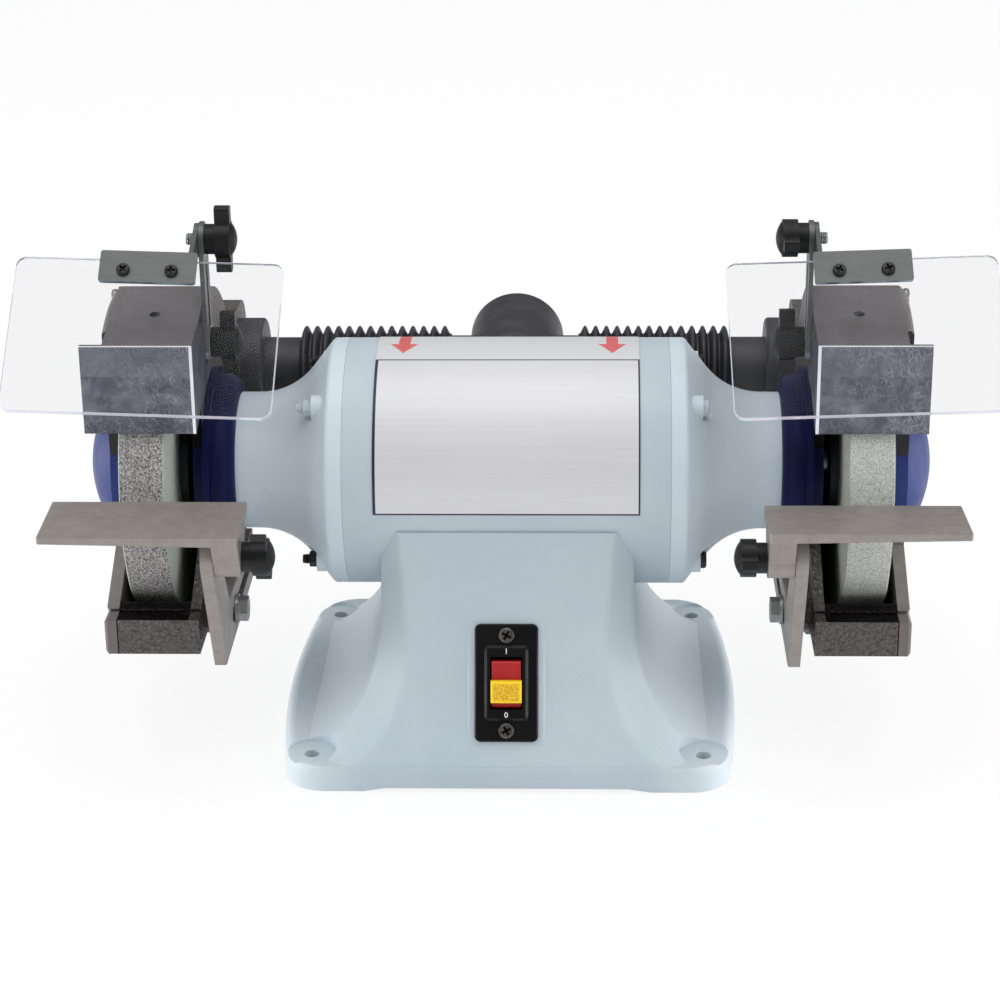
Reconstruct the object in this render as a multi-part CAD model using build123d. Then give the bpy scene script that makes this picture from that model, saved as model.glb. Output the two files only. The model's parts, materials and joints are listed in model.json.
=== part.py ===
from build123d import *
import os
from math import asin, atan2, cos, degrees, hypot, radians, sin, sqrt, tan

# A two-wheel bench grinder in millimetres. X runs along the spindle, the user stands at -Y, Z is up.
# Every piece is modelled about the spindle axis and lifted to stand on the bench when it is written.

# Clearances
turn_gap = 0.05
fit_gap = 0.1
plate_gap = 0.3
bolt_gap = 0.25
edge_break = 0.8
overcut = 1.0

# Spindle and wheels
axis_height = 157.0
wheel_radius = 89.0
wheel_width = 25.4
wheel_offset = 29.2
arbor_radius = 7.94
journal_radius = 8.5
rotor_shaft_radius = 11.0
spindle_stub = 4.1
flange_radius = 32.0
flange_thickness = 5.0
flange_relief = 1.2
flange_land = 8.0
flange_inner_land = 4.0
nut_across = 22.0
nut_height = 9.0
nut_taper = 4.0

# Motor
motor_radius = 72.0
motor_wall = 4.0
motor_half = 93.0
rim_width = 9.0
rim_round = 3.0
seam_chamfer = 0.3
bell_nose_radius = 40.0
bell_length = 55.0
bell_nose_length = 10.0
bell_slope = 52.0
bell_wall = 6.0
bell_spigot = 5.0
spigot_wall = 3.0
bearing_radius = 20.0
bearing_width = 12.0
bearing_setback = 29.0
stator_half = 36.0
stator_bore = 38.0
winding_length = 22.0
winding_inset = 5.0
winding_inner = 42.0
air_gap = 0.5
tie_inset = 7.0
tie_angle = 50.0
tie_bolt_radius = 2.5
tie_clear = 1.0
tie_boss_radius = 7.2
tie_boss_length = 9.2
tie_seat_cut = 12.0
tie_head_radius = 5.0
tie_head_height = 3.5
tie_nut_across = 8.0
tie_nut_height = 4.5
tie_stub = 4.0

# Pedestal casting
plinth_length = 269.0
plinth_bow = 10.0
plinth_depth = 236.0
plinth_height = 15.0
plinth_corner = 24.0
plinth_edge = 6.0
plinth_front_edge = 0.5
foot_land = 0.6
foot_sink = 0.4
foot_shoulder = 8.0
bolt_inset_x = 22.0
bolt_inset_y = 21.0
bolt_hole_radius = 4.5
spotface_radius = 15.0
spotface_depth = 2.0
spotface_reach = 40.0
column_half = 72.5
column_top = -17.0
column_band = 11.0
foot_band = 22.0
band_round = 0.35
panel_top = 71.5
panel_sag = 5.0
flare_height = 78.0
flare_wall = 18.0
casting_wall = 8.0
cavity_height = 73.0
cover_plate_thickness = 2.0
cover_plate_lap_x = 6.0
cover_plate_lap_y = 4.0
arch_height = 2.0
arch_length = 138.0
arch_slope = 13.0
capacitor_radius = 17.0
capacitor_length = 70.0
capacitor_y = 20.0
capacitor_edge = 2.0
gland_radius = 11.0
gland_length = 9.0
gland_bore = 4.5
gland_sleeve = 6.5
gland_height = 39.0

# Switch on the front panel
switch_height = 59.0
switch_width = 36.0
switch_length = 67.0
switch_plate = 2.0
switch_corner = 3.5
switch_screw_pitch = 54.0
switch_screw_radius = 2.0
switch_screw_length = 11.0
switch_head_radius = 4.5
switch_head_height = 2.2
switch_head_round = 1.2
bezel_width = 25.0
bezel_length = 43.0
bezel_height = 3.0
bezel_corner = 2.5
bezel_slope = 1.6
rocker_well_width = 18.0
rocker_well_length = 29.8
switch_body_width = 22.4
switch_body_length = 38.4
switch_body_depth = 24.0
switch_floor = 4.0
rocker_width = 16.5
rocker_length = 27.0
rocker_thickness = 9.0
rocker_round = 1.5
rocker_pivot_depth = 3.0
rocker_pin_radius = 1.5
rocker_proud = 1.0
rocker_rest_angle = 8.0
key_width = 17.6
key_length = 12.7
key_proud = 4.5
key_round = 1.0
key_offset = -3.4
key_stem_width = 10.0
key_stem_length = 6.0
key_stem_depth = 5.0
pad_width = 45.0
pad_length = 70.0
pad_proud = 0.1
pad_slope = 1.4

# Wheel guards and their round hub parts
guard_radius = 102.0
guard_rim = 5.0
hub_length = 17.0
guard_wall = 6.0
guard_depth = 47.0
cover_thickness = 7.0
cover_chamfer = 1.6
guard_front = -42.0
guard_front_foot = -36.0
lip_front = -95.0
lip_top = -61.0
lip_bottom = -82.0
lip_slope_front = -86.0
lip_corner = 4.5
tail_start = 40.0
tail_back = 166.0
tail_height = 78.0
tail_corner = 22.0
hub_radius = 51.0
hub_shoulder = 10.0
hub_flange_radius = 55.0
hub_flange = 4.0
hub_spigot_radius = 48.0
hub_dish_radius = 44.0
hub_dish_taper = 6.0
hub_web = 7.0
hub_bore = 12.0
hub_screw_circle = 28.0
hub_screw_radius = 2.5
hub_screw_depth = 11.0
dome_radius = 46.0
dome_height = 17.5
dome_wall = 2.5
dome_lip = 4.0
dome_lip_thickness = 2.0
cover_screw_angles = (82.0, -32.0, -104.0)
cover_boss_radius = 5.0
cover_screw_radius = 2.5
cover_screw_depth = 20.0
pan_head_radius = 4.6
pan_head_height = 3.0

# Dust pipes behind the motor
duct_y = 127.0
duct_z = 13.0
duct_bore = 16.0
collar_radius = 32.0
collar_length = 17.0
collar_wall = 4.0
collar_round = 2.0
cuff_radius = 20.0
hose_ridge = 27.0
hose_groove = 22.0
hose_cuff = 23.0
tee_half = 40.0
tee_radius = 21.0
tee_wall = 3.5
tee_round = 5.0
outlet_radius = 30.8
outlet_front = 104.0
outlet_back = 190.0
spigot_length = 40.0
spigot_step = 0.8
hose_ribs = 14

# Hand knobs
knob_hub_radius = 8.5
knob_hub_length = 6.0
knob_body_radius = 10.5
knob_body_length = 8.5
knob_wing_reach = 19.0
knob_wing_width = 7.5
knob_cap_radius = 9.5
knob_cap_height = 3.5
stud_radius = 3.0

# Eye shield, its arm and the spark guard
sheet = 2.5
clamp_y = -27.0
clamp_z = 82.0
pivot_y = -31.0
pivot_z = 144.0
arm_width = 20.0
arm_slot = 46.0
ear_radius = 9.0
shield_width = 148.5
shield_length = 93.0
shield_thickness = 3.0
shield_corner = 6.0
shield_edge = 0.4
shield_overhang = 53.2
shield_tilt = 44.0
shield_roll = 2.0
shield_top_y = -58.0
shield_top_z = 140.0
strap_length = 53.5
strap_overhang = 2.4
strap_width = 19.0
strap_overlap = 15.0
strap_corner = 1.5
shield_screw_pitch = 26.6
shield_screw_inset = 7.0
shield_screw_radius = 2.0
shield_screw_spare = 3.0
shield_head_radius = 3.7
shield_head_height = 2.0
shield_head_round = 1.0
pivot_stud_reach = 4.6
spark_front = -80.0
spark_bottom = 47.0
spark_top = 98.0
spark_back = -16.0
spark_slope = 12.0
spark_width = 59.5
spark_flange_back = -14.0
spark_flange_bottom = 60.0
spark_flange_corner = 14.0
spark_flange_step = 30.0
spark_slot_travel = 10.0
spark_slot_spare = 3.0
spark_hole_radius = 3.0

# Tool rests
rest_inner_reach = 30.5
rest_outer_reach = 78.0
rest_back = -93.0
rest_depth = 50.0
rest_top = 10.0
rest_thick = 5.5
rest_thin = 3.5
lug_width = 14.5
lug_radius = 11.0
lug_setback = 6.0
rest_pivot_y = -118.0
rest_pivot_z = -12.0
rest_tilt_left = 1.5
rest_tilt_right = -4.0
support_thickness = 7.0
support_stand_off = 8.0
support_foot_y = -91.0
support_bottom = -88.5
support_top = -59.5
support_back = 38.0
support_upright = 24.0
support_head_radius = 12.0
support_toe = 4.8
support_knee_web = 12.0
support_edge = 0.6
support_slot = 9.0
support_bolt_y = -49.0
support_bolt_radius = 4.0
support_bolt_across = 13.0
support_bolt_head = 5.5
support_washer_radius = 8.5
support_washer = 1.6
support_slot_front = 14.0
support_pad_back = 36.0
support_pad_front = -62.0
support_pad_inset = 2.0

# Derived places
rim_end = motor_half + rim_width
bell_end = rim_end + bell_length
bearing_inner = bell_end - bearing_setback
bearing_outer = bearing_inner + bearing_width
nose_start = bell_end - bell_nose_length
support_z = (support_top + support_bottom) / 2
guard_inner = bell_end + hub_length
guard_web = guard_inner + guard_wall
cover_inner = guard_inner + guard_depth
wheel_centre = guard_inner + wheel_offset
wheel_inner = wheel_centre - wheel_width / 2
wheel_outer = wheel_centre + wheel_width / 2
flange_seat = wheel_inner - flange_thickness
spindle_half = wheel_outer + flange_thickness + nut_height + spindle_stub
tie_circle = motor_radius - motor_wall - tie_inset
winding_outer = tie_circle - winding_inset
cover_outer = cover_inner + cover_thickness
floor = -axis_height
foot_top = floor + plinth_height
flare_foot = foot_top - foot_sink
flare_top = flare_foot + flare_height
flare_reach = plinth_length / 2 - plinth_edge - foot_shoulder - column_half
bolt_spacing_x = plinth_length - 2 * bolt_inset_x
bolt_spacing_y = plinth_depth - 2 * bolt_inset_y
cavity_top = floor + cavity_height
panel_foot = plinth_depth / 2 - plinth_front_edge - foot_land
outlet_shoulder = outlet_back - spigot_length
spigot_radius = outlet_radius - spigot_step
gland_drop = floor + gland_height
switch_drop = floor + switch_height
spark_plate = guard_inner - plate_gap - sheet
arm_plate = spark_plate - plate_gap - sheet
knob_seat = arm_plate - plate_gap
pivot_stud_end = guard_inner + pivot_stud_reach
spark_outer = guard_inner + spark_width
shield_inner = guard_inner - shield_overhang
rest_inner = guard_inner - rest_inner_reach
rest_outer = guard_inner + rest_outer_reach
support_outer = guard_inner - support_stand_off
support_inner = support_outer - support_thickness
lug_outer = support_inner - plate_gap
lug_inner = lug_outer - lug_width
cap_sphere = (dome_radius ** 2 + dome_height ** 2) / (2 * dome_height)


def bar(radius, x0, x1, y=0.0, z=0.0):
    """A round bar along X."""
    return Pos((x0 + x1) / 2, y, z) * Rot(0, 90, 0) * Cylinder(radius, x1 - x0)


def tube(outer, inner, x0, x1, y=0.0, z=0.0):
    return bar(outer, x0, x1, y, z) - bar(inner, x0, x1, y, z)


def slab(outline, x0, x1):
    """A flat outline drawn in Y and Z, given thickness along X."""
    return extrude(Plane.YZ.offset(x0) * outline, x1 - x0)


def hexagon(across, x0, x1, y=0.0, z=0.0):
    outline = RegularPolygon(across / 2, 6, major_radius=False)
    return Pos(0, y, z) * slab(outline, x0, x1)


def turned(*lines):
    """A closed profile of X and radius, turned about the spindle axis."""
    edges = [edge for line in lines for edge in line.edges()]
    return revolve(make_face(edges), Axis.X)


def around(radius, angle):
    return radius * cos(radians(angle)), radius * sin(radians(angle))


def mirrored(shape):
    return mirror(shape, about=Plane.YZ)


# Spindle


def make_shaft():
    half = Polyline(
        (0, 0),
        (0, rotor_shaft_radius),
        (bearing_inner, rotor_shaft_radius),
        (bearing_inner, journal_radius),
        (flange_seat, journal_radius),
        (flange_seat, arbor_radius),
        (spindle_half - edge_break, arbor_radius),
        (spindle_half, arbor_radius - edge_break),
        (spindle_half, 0),
        close=True,
    )
    right = turned(half)
    return right + mirrored(right)


def make_rotor_core():
    core = tube(stator_bore - air_gap, rotor_shaft_radius + fit_gap / 2, -stator_half, stator_half)
    return chamfer(core.edges().filter_by(GeomType.CIRCLE).group_by(SortBy.RADIUS)[-1], edge_break)


def make_wheel():
    wheel = tube(wheel_radius, arbor_radius + fit_gap, wheel_inner, wheel_outer)
    return chamfer(wheel.edges().filter_by(GeomType.CIRCLE).group_by(SortBy.RADIUS)[-1], edge_break)


def make_flange():
    """A relieved clamping flange against the wheel's inner face."""
    blank = tube(flange_radius, arbor_radius + fit_gap, flange_seat, wheel_inner)
    relief_outer = flange_radius - flange_land
    relief_inner = arbor_radius + flange_inner_land
    relief = tube(relief_outer, relief_inner, wheel_inner - flange_relief, wheel_inner)
    return blank - relief


def make_flanges():
    inner = make_flange()
    outer = mirror(inner, about=Plane.YZ.offset(wheel_centre))
    return [inner, outer, mirrored(inner), mirrored(outer)]


def make_wheel_nut():
    start = wheel_outer + flange_thickness
    nut = hexagon(nut_across, start, start + nut_height)
    cone = turned(
        Polyline(
            (start, 0),
            (start, nut_across),
            (start + nut_height - nut_taper, nut_across),
            (start + nut_height, nut_across / 2 - edge_break),
            (start + nut_height, 0),
            close=True,
        )
    )
    return (nut & cone) - bar(arbor_radius + fit_gap, start - overcut, start + nut_height + overcut)


# Motor


def make_motor_shell():
    shell = tube(motor_radius, motor_radius - motor_wall, -motor_half, motor_half)
    rims = shell.edges().filter_by(GeomType.CIRCLE).group_by(SortBy.RADIUS)[-1]
    return chamfer(rims, seam_chamfer)


def tie_places():
    angles = (tie_angle, 180 - tie_angle, 180 + tie_angle, -tie_angle)
    return [around(tie_circle, angle) for angle in angles]


def make_stator_core():
    outer = motor_radius - motor_wall - fit_gap
    core = tube(outer, stator_bore, -stator_half, stator_half)
    for y, z in tie_places():
        core -= bar(tie_bolt_radius + tie_clear, -stator_half - overcut, stator_half + overcut, y, z)
    return core


def make_winding():
    end = tube(winding_outer, winding_inner, stator_half, stator_half + winding_length)
    edges = end.edges().filter_by(GeomType.CIRCLE).sort_by(Axis.X)[-2:]
    end = fillet(edges, (winding_outer - winding_inner) * 0.35)
    return [end, mirrored(end)]


def bell_curve():
    """The trumpet line from the rim to the nose: a straight cone, then an arc that ends along the nose."""
    run = nose_start - rim_end
    drop = motor_radius - bell_nose_radius
    lean = radians(bell_slope)
    arc = (run * sin(lean) - drop * cos(lean)) / (1 - cos(lean))
    cone = (run - arc * sin(lean)) / cos(lean)
    along = Vector(cos(lean), -sin(lean))
    meet = Vector(rim_end, motor_radius) + along * cone
    return along, meet, Vector(nose_start, bell_nose_radius + arc), arc


def on_circle(centre, radius, start, end):
    """The middle point of the short arc from start to end."""
    middle = ((start - centre) + (end - centre)).normalized()
    return centre + middle * radius


def make_end_bell():
    along, meet, throat, arc = bell_curve()
    nose = Vector(nose_start, bell_nose_radius)
    shell_bore = motor_radius - motor_wall
    spigot = shell_bore - fit_gap
    hollow_top = spigot - spigot_wall
    pocket = bearing_radius + fit_gap
    inner_arc = arc + bell_wall
    inner_meet = throat + (meet - throat).normalized() * inner_arc
    inner_start = inner_meet + along * ((inner_meet.Y - hollow_top) / -along.Y)
    hollow = Vector(bearing_inner, throat.Y - sqrt(inner_arc ** 2 - (throat.X - bearing_inner) ** 2))
    outline = [
        Polyline((motor_half, spigot), (motor_half, motor_radius), (rim_end, motor_radius), meet),
        ThreePointArc(meet, on_circle(throat, arc, meet, nose), nose),
        Polyline(
            nose,
            (bell_end, bell_nose_radius),
            (bell_end, hub_bore),
            (bearing_outer, hub_bore),
            (bearing_outer, pocket),
            (bearing_inner, pocket),
            hollow,
        ),
        ThreePointArc(hollow, on_circle(throat, inner_arc, hollow, inner_meet), inner_meet),
        Polyline(
            inner_meet,
            inner_start,
            (motor_half - bell_spigot, hollow_top),
            (motor_half - bell_spigot, spigot),
            (motor_half, spigot),
        ),
    ]
    bell = turned(*outline)
    rim = bell.edges().filter_by(GeomType.CIRCLE).group_by(SortBy.RADIUS)[-1].sort_by(Axis.X)[-1]
    bell = fillet(rim, rim_round)
    boss_end = rim_end + tie_boss_length
    for y, z in tie_places():
        bell += bar(tie_boss_radius, motor_half, boss_end, y, z)
    for y, z in tie_places():
        bell -= bar(tie_boss_radius + plate_gap, boss_end, boss_end + tie_seat_cut, y, z)
        bell -= bar(tie_bolt_radius + bolt_gap, motor_half - bell_spigot - overcut, boss_end, y, z)
    for y, z in hub_screw_places():
        bell -= bar(hub_screw_radius + fit_gap, bell_end - hub_screw_depth, bell_end + overcut, y, z)
    return bell


def make_bearing():
    return tube(bearing_radius, journal_radius + turn_gap, bearing_inner, bearing_outer)


def make_tie_bolts():
    """Four long bolts with their heads on the right bell and nuts on the left one."""
    seat = rim_end + tie_boss_length
    pieces = []
    for y, z in tie_places():
        shank = bar(tie_bolt_radius, -seat - tie_nut_height - tie_stub, seat, y, z)
        head = bar(tie_head_radius, seat, seat + tie_head_height, y, z)
        head = fillet(head.edges().filter_by(GeomType.CIRCLE).sort_by(Axis.X)[-1], tie_head_height * 0.4)
        nut = hexagon(tie_nut_across, -seat - tie_nut_height, -seat, y, z)
        nut -= bar(tie_bolt_radius + fit_gap / 2, -seat - tie_nut_height - overcut, -seat + overcut, y, z)
        pieces += [shank + head, nut]
    return pieces


# Pedestal


def panel_depth(z):
    """How far the leaning front panel stands from the spindle axis at a height."""
    share = (column_top - z) / (column_top - flare_foot)
    return panel_top + (panel_foot - panel_top) * share - 4 * panel_sag * share * (1 - share)


def column_reach(z, inset=0.0):
    """Half the column's length at a height: upright, then flaring along a quarter ellipse to the foot."""
    share = min(1.0, max(0.0, flare_top - z) / flare_height)
    flare = flare_reach - flare_wall if inset else flare_reach
    return column_half - inset + flare * (1 - sqrt(1 - share ** 2))


def column_section(z, inset=0.0):
    """One level of the pedestal: a rectangle whose corners are cut back to a soft-edged band."""
    share = (column_top - z) / (column_top - flare_foot)
    band = column_band + (foot_band - column_band) * share - inset / 2
    outline = Rectangle(2 * column_reach(z, inset), 2 * (panel_depth(z) - inset))
    outline = chamfer(outline.vertices(), band)
    return Pos(0, 0, z) * fillet(outline.vertices(), band * band_round)


def make_column(top, inset=0.0):
    """The pedestal as a loft through its levels, closer together where the flare turns outward."""
    turns = (0, 25, 45, 62, 76, 86, 90)
    upper_steps = 3
    levels = [flare_foot + flare_height * (1 - sin(radians(turn))) for turn in turns]
    if top > flare_top:
        upper = (top - flare_top) / upper_steps
        levels = [top - upper * step for step in range(1, upper_steps)] + levels
    levels = [top] + [z for z in levels if z < top - overcut]
    return loft([column_section(z, inset) for z in levels])


def panel_angle():
    """The lean of the switch pad, from the panel just above and below it."""
    reach = pad_length / 2
    run = panel_depth(switch_drop - reach) - panel_depth(switch_drop + reach)
    return atan2(run, pad_length)


def switch_plane():
    lean = panel_angle()
    reach = pad_length / 2
    depth = (panel_depth(switch_drop - reach) + panel_depth(switch_drop + reach)) / 2
    out = Vector(0, -cos(lean), sin(lean))
    origin = Vector(0, -depth, switch_drop) + out * pad_proud
    return Plane(origin=origin, x_dir=(1, 0, 0), z_dir=out)


def on_panel(shape):
    return switch_plane().location * shape


def bolt_places():
    sides = (-1, 1)
    return [(i * bolt_spacing_x / 2, j * bolt_spacing_y / 2) for i in sides for j in sides]


def plinth_outline(end_inset, front_inset):
    """The foot seen from above: straight front and back, bowed ends."""
    half_depth = plinth_depth / 2 - front_inset
    tip = plinth_length / 2 - end_inset
    end = tip - plinth_bow
    edges = [
        Line((-end, -half_depth), (end, -half_depth)),
        ThreePointArc((end, -half_depth), (tip, 0), (end, half_depth)),
        Line((end, half_depth), (-end, half_depth)),
        ThreePointArc((-end, half_depth), (-tip, 0), (-end, -half_depth)),
    ]
    face = make_face([edge for line in edges for edge in line.edges()])
    return fillet(face.vertices(), plinth_corner - end_inset / 2)


def make_plinth():
    """The foot: upright sides, a rolled top edge that fades out at the front, and an arch underneath."""
    upright = plinth_height - plinth_edge
    plinth = Pos(0, 0, floor) * extrude(plinth_outline(0, 0), upright)
    rolled = []
    for turn in (0, 30, 60, 90):
        inward = 1 - cos(radians(turn))
        level = floor + upright + plinth_edge * sin(radians(turn))
        rolled.append(Pos(0, 0, level) * plinth_outline(plinth_edge * inward, plinth_front_edge * inward))
    plinth += loft(rolled)
    high, low = arch_length / 2, arch_length / 2 + arch_slope
    crown = floor + arch_height
    arch = make_face(Polyline((-low, floor), (-high, crown), (high, crown), (low, floor), close=True))
    return plinth - extrude(Plane.XZ.offset(-plinth_depth) * arch, 2 * plinth_depth)


def cover_plate_outline(gap):
    return RectangleRounded(
        2 * (column_reach(foot_top, casting_wall) + cover_plate_lap_x - gap),
        2 * (panel_depth(foot_top) - casting_wall + cover_plate_lap_y - gap),
        plinth_corner / 2,
    )


def make_base_casting():
    base = make_column(column_top) + make_plinth()
    pad = Pos(0, 0, -casting_wall / 4) * Box(pad_width, pad_length, casting_wall / 2)
    pad = chamfer(pad.faces().sort_by(Axis.Z)[-1].edges().filter_by(Axis.Y), pad_slope)
    base += on_panel(pad)
    base -= make_column(cavity_top, casting_wall)
    well = Pos(0, 0, -plinth_height) * column_section(foot_top, casting_wall + overcut)
    base -= extrude(well, plinth_height + overcut)
    # the cradle's cutter is turned so that its seam lies above the casting
    base -= Rot(180, 0, 0) * bar(motor_radius + fit_gap / 2, -motor_half, motor_half)
    base -= Pos(0, 0, floor) * extrude(cover_plate_outline(0), arch_height + cover_plate_thickness)
    for x, y in bolt_places():
        hole = Pos(x, y, floor + plinth_height / 2) * Cylinder(bolt_hole_radius, 4 * plinth_height)
        face = Pos(x, y, foot_top + spotface_reach / 2 - spotface_depth) * Cylinder(
            spotface_radius, spotface_reach
        )
        base -= hole + face
    hole_width = switch_body_width + 2 * plate_gap
    hole_length = switch_body_length + 2 * plate_gap
    base -= on_panel(Box(hole_width, hole_length, 4 * casting_wall))
    for side in (-1, 1):
        screw = Cylinder(switch_screw_radius + fit_gap, 4 * casting_wall)
        base -= on_panel(Pos(0, side * switch_screw_pitch / 2) * screw)
    base -= gland_plane().location * Cylinder(gland_sleeve + bolt_gap, 4 * casting_wall)
    return base


def make_base_cover_plate():
    plate = extrude(cover_plate_outline(plate_gap), cover_plate_thickness)
    return Pos(0, 0, floor + arch_height) * plate


def make_capacitor():
    """The motor's capacitor, lying on the cover plate inside the pedestal."""
    rest = floor + arch_height + cover_plate_thickness + capacitor_radius
    can = bar(capacitor_radius, -capacitor_length / 2, capacitor_length / 2, capacitor_y, rest)
    return fillet(can.edges().filter_by(GeomType.CIRCLE), capacitor_edge)


def gland_plane():
    """The seat of the cord inlet on the leaning back panel, clear of the panel's hollow."""
    rise = panel_depth(gland_drop - gland_radius) - panel_depth(gland_drop + gland_radius)
    lean = atan2(rise, 2 * gland_radius)
    out = Vector(0, cos(lean), sin(lean))
    seat = Vector(0, panel_depth(gland_drop), gland_drop) + out * plate_gap
    return Plane(origin=seat, x_dir=(1, 0, 0), z_dir=out)


def make_cord_gland():
    """The bare cord inlet bush on the back of the pedestal."""
    gland = extrude(RegularPolygon(gland_radius, 6), gland_length * 0.6)
    gland += Pos(0, 0, gland_length / 2) * Cylinder(gland_radius * 0.78, gland_length)
    gland += Pos(0, 0, -casting_wall / 2) * Cylinder(gland_sleeve, casting_wall)
    gland -= Cylinder(gland_bore, 6 * gland_length)
    return gland_plane().location * gland


# Switch


def make_switch_plate():
    plate = extrude(RectangleRounded(switch_width, switch_length, switch_corner), switch_plate)
    plate = chamfer(plate.faces().sort_by(Axis.Z)[-1].edges(), edge_break)
    bezel = extrude(RectangleRounded(bezel_width, bezel_length, bezel_corner), switch_plate + bezel_height)
    bezel = chamfer(bezel.faces().sort_by(Axis.Z)[-1].edges(), bezel_slope)
    body = Pos(0, 0, -switch_body_depth / 2) * Box(switch_body_width, switch_body_length, switch_body_depth)
    well_floor = switch_floor - switch_body_depth
    well_top = switch_plate + bezel_height + overcut
    well = Pos(0, 0, (well_top + well_floor) / 2) * Box(
        rocker_well_width, rocker_well_length, well_top - well_floor
    )
    pin_reach = rocker_well_width / 2 + overcut
    pin = bar(rocker_pin_radius, -pin_reach, pin_reach, 0, -rocker_pivot_depth)
    switch = plate + bezel + body - well + pin
    for side in (-1, 1):
        hole = Cylinder(switch_screw_radius + fit_gap, 4 * switch_plate)
        switch -= Pos(0, side * switch_screw_pitch / 2) * hole
    return on_panel(switch)


def make_switch_screws():
    screws = []
    for side in (-1, 1):
        shank = Pos(0, 0, -switch_screw_length / 2) * Cylinder(switch_screw_radius, switch_screw_length)
        head = Pos(0, 0, switch_head_height / 2) * Cylinder(switch_head_radius, switch_head_height)
        head = fillet(head.edges().filter_by(GeomType.CIRCLE).sort_by(Axis.Z)[-1], switch_head_round)
        screws.append(on_panel(Pos(0, side * switch_screw_pitch / 2, switch_plate) * (shank + head)))
    return screws


def on_rocker(shape):
    """Turns a piece about the rocker's pin, to the end of the throw where its foot is pressed in."""
    pin = Pos(0, 0, -rocker_pivot_depth)
    return pin * Rot(rocker_rest_angle, 0, 0) * pin.inverse() * shape


def make_switch_rocker():
    top = switch_plate + bezel_height - rocker_proud
    block = Pos(0, 0, top - rocker_thickness / 2) * Box(rocker_width, rocker_length, rocker_thickness)
    block = fillet(block.edges().filter_by(Axis.X), rocker_round)
    axle = bar(rocker_pin_radius + turn_gap, -rocker_width, rocker_width, 0, -rocker_pivot_depth)
    slot = Pos(0, key_offset, top - key_stem_depth / 2) * Box(
        key_stem_width + 2 * plate_gap, key_stem_length + 2 * plate_gap, key_stem_depth + 2 * plate_gap
    )
    return on_panel(on_rocker(block - axle - slot))


def make_switch_key():
    top = switch_plate + bezel_height - rocker_proud
    grip = Pos(0, key_offset, top + plate_gap + key_proud / 2) * Box(key_width, key_length, key_proud)
    grip = fillet(grip.faces().sort_by(Axis.Z)[-1].edges(), key_round)
    stem = Pos(0, key_offset, top + plate_gap - key_stem_depth / 2) * Box(
        key_stem_width, key_stem_length, key_stem_depth
    )
    return on_panel(on_rocker(grip + stem))


# Wheel guards


def guard_outline(inset=0.0):
    """The side of a guard: the wheel drum, its front lip and the tail that carries the dust port."""
    drum = Circle(guard_radius - inset)
    tail = Pos((tail_start + tail_back - inset) / 2, duct_z) * RectangleRounded(
        tail_back - inset - tail_start, tail_height - 2 * inset, max(tail_corner - inset, 1.0)
    )
    if inset:
        return drum + tail
    lip = Pos(lip_front / 2, (lip_top + lip_bottom) / 2) * Rectangle(-lip_front, lip_top - lip_bottom)
    return drum + tail + lip


def guard_opening():
    """What is open at the front of a guard, above its lip."""
    reach = 2 * guard_radius
    return make_face(
        Polyline(
            (guard_front, reach),
            (-reach, reach),
            (-reach, lip_top),
            (lip_slope_front, lip_top),
            (guard_front, guard_front_foot),
            close=True,
        )
    )


def cover_screw_places():
    return [around(guard_radius - cover_boss_radius, angle) for angle in cover_screw_angles]


def hub_screw_places():
    return [around(hub_screw_circle, angle) for angle in (90, 210, 330)]


def make_lip_corner():
    """The cast round that fills the corner between a guard's wall and its lip."""
    hollow_front = -sqrt((guard_radius - guard_rim) ** 2 - lip_top ** 2)
    half = lip_corner / 2
    length = hollow_front + lip_corner - lip_slope_front
    block = Pos(guard_web + half, lip_slope_front + length / 2, lip_top + half) * Box(
        lip_corner, length, lip_corner
    )
    round_place = Pos(guard_web + lip_corner, lip_slope_front + length / 2, lip_top + lip_corner)
    return block - round_place * Rot(90, 0, 0) * Cylinder(lip_corner, 2 * length)


def make_guard():
    guard = slab(guard_outline(), guard_inner, cover_inner)
    hollow = slab(guard_outline(guard_rim), guard_web, cover_inner + overcut)
    bosses = None
    for y, z in cover_screw_places():
        boss = bar(cover_boss_radius, guard_web, cover_inner, y, z)
        bosses = boss if bosses is None else bosses + boss
    guard = guard - (hollow - bosses)
    pad_outline = Pos((support_pad_front + support_pad_back) / 2, support_z) * Rectangle(
        support_pad_back - support_pad_front, support_top - support_bottom - 2 * support_pad_inset
    )
    pad_face = support_outer + plate_gap
    guard += slab(pad_outline & Circle(guard_radius - edge_break), pad_face, guard_inner)
    guard += make_lip_corner()
    guard -= slab(guard_opening(), pad_face - overcut, cover_inner + overcut)
    near = pad_face - overcut
    far = guard_web + overcut
    guard -= bar(hub_spigot_radius + fit_gap, near, far)
    guard -= bar(collar_radius - collar_wall, near, far, duct_y, duct_z)
    guard -= bar(stud_radius + bolt_gap, near, far, clamp_y, clamp_z)
    guard -= bar(support_bolt_radius + bolt_gap, near, far, support_bolt_y, support_z)
    for y, z in cover_screw_places():
        guard -= bar(cover_screw_radius + fit_gap, cover_inner - cover_screw_depth, cover_inner, y, z)
    return guard


def make_side_cover():
    cover = slab(guard_outline(), cover_inner, cover_outer)
    rim = cover.faces().sort_by(Axis.X)[-1].outer_wire().edges()
    cover = chamfer(rim, cover_chamfer)
    near = cover_inner - overcut
    far = cover_outer + overcut
    cover -= slab(guard_opening(), near, far)
    cover -= bar(dome_radius + fit_gap, near, far)
    for y, z in cover_screw_places():
        cover -= bar(cover_screw_radius + bolt_gap, near, far, y, z)
    return cover


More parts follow.
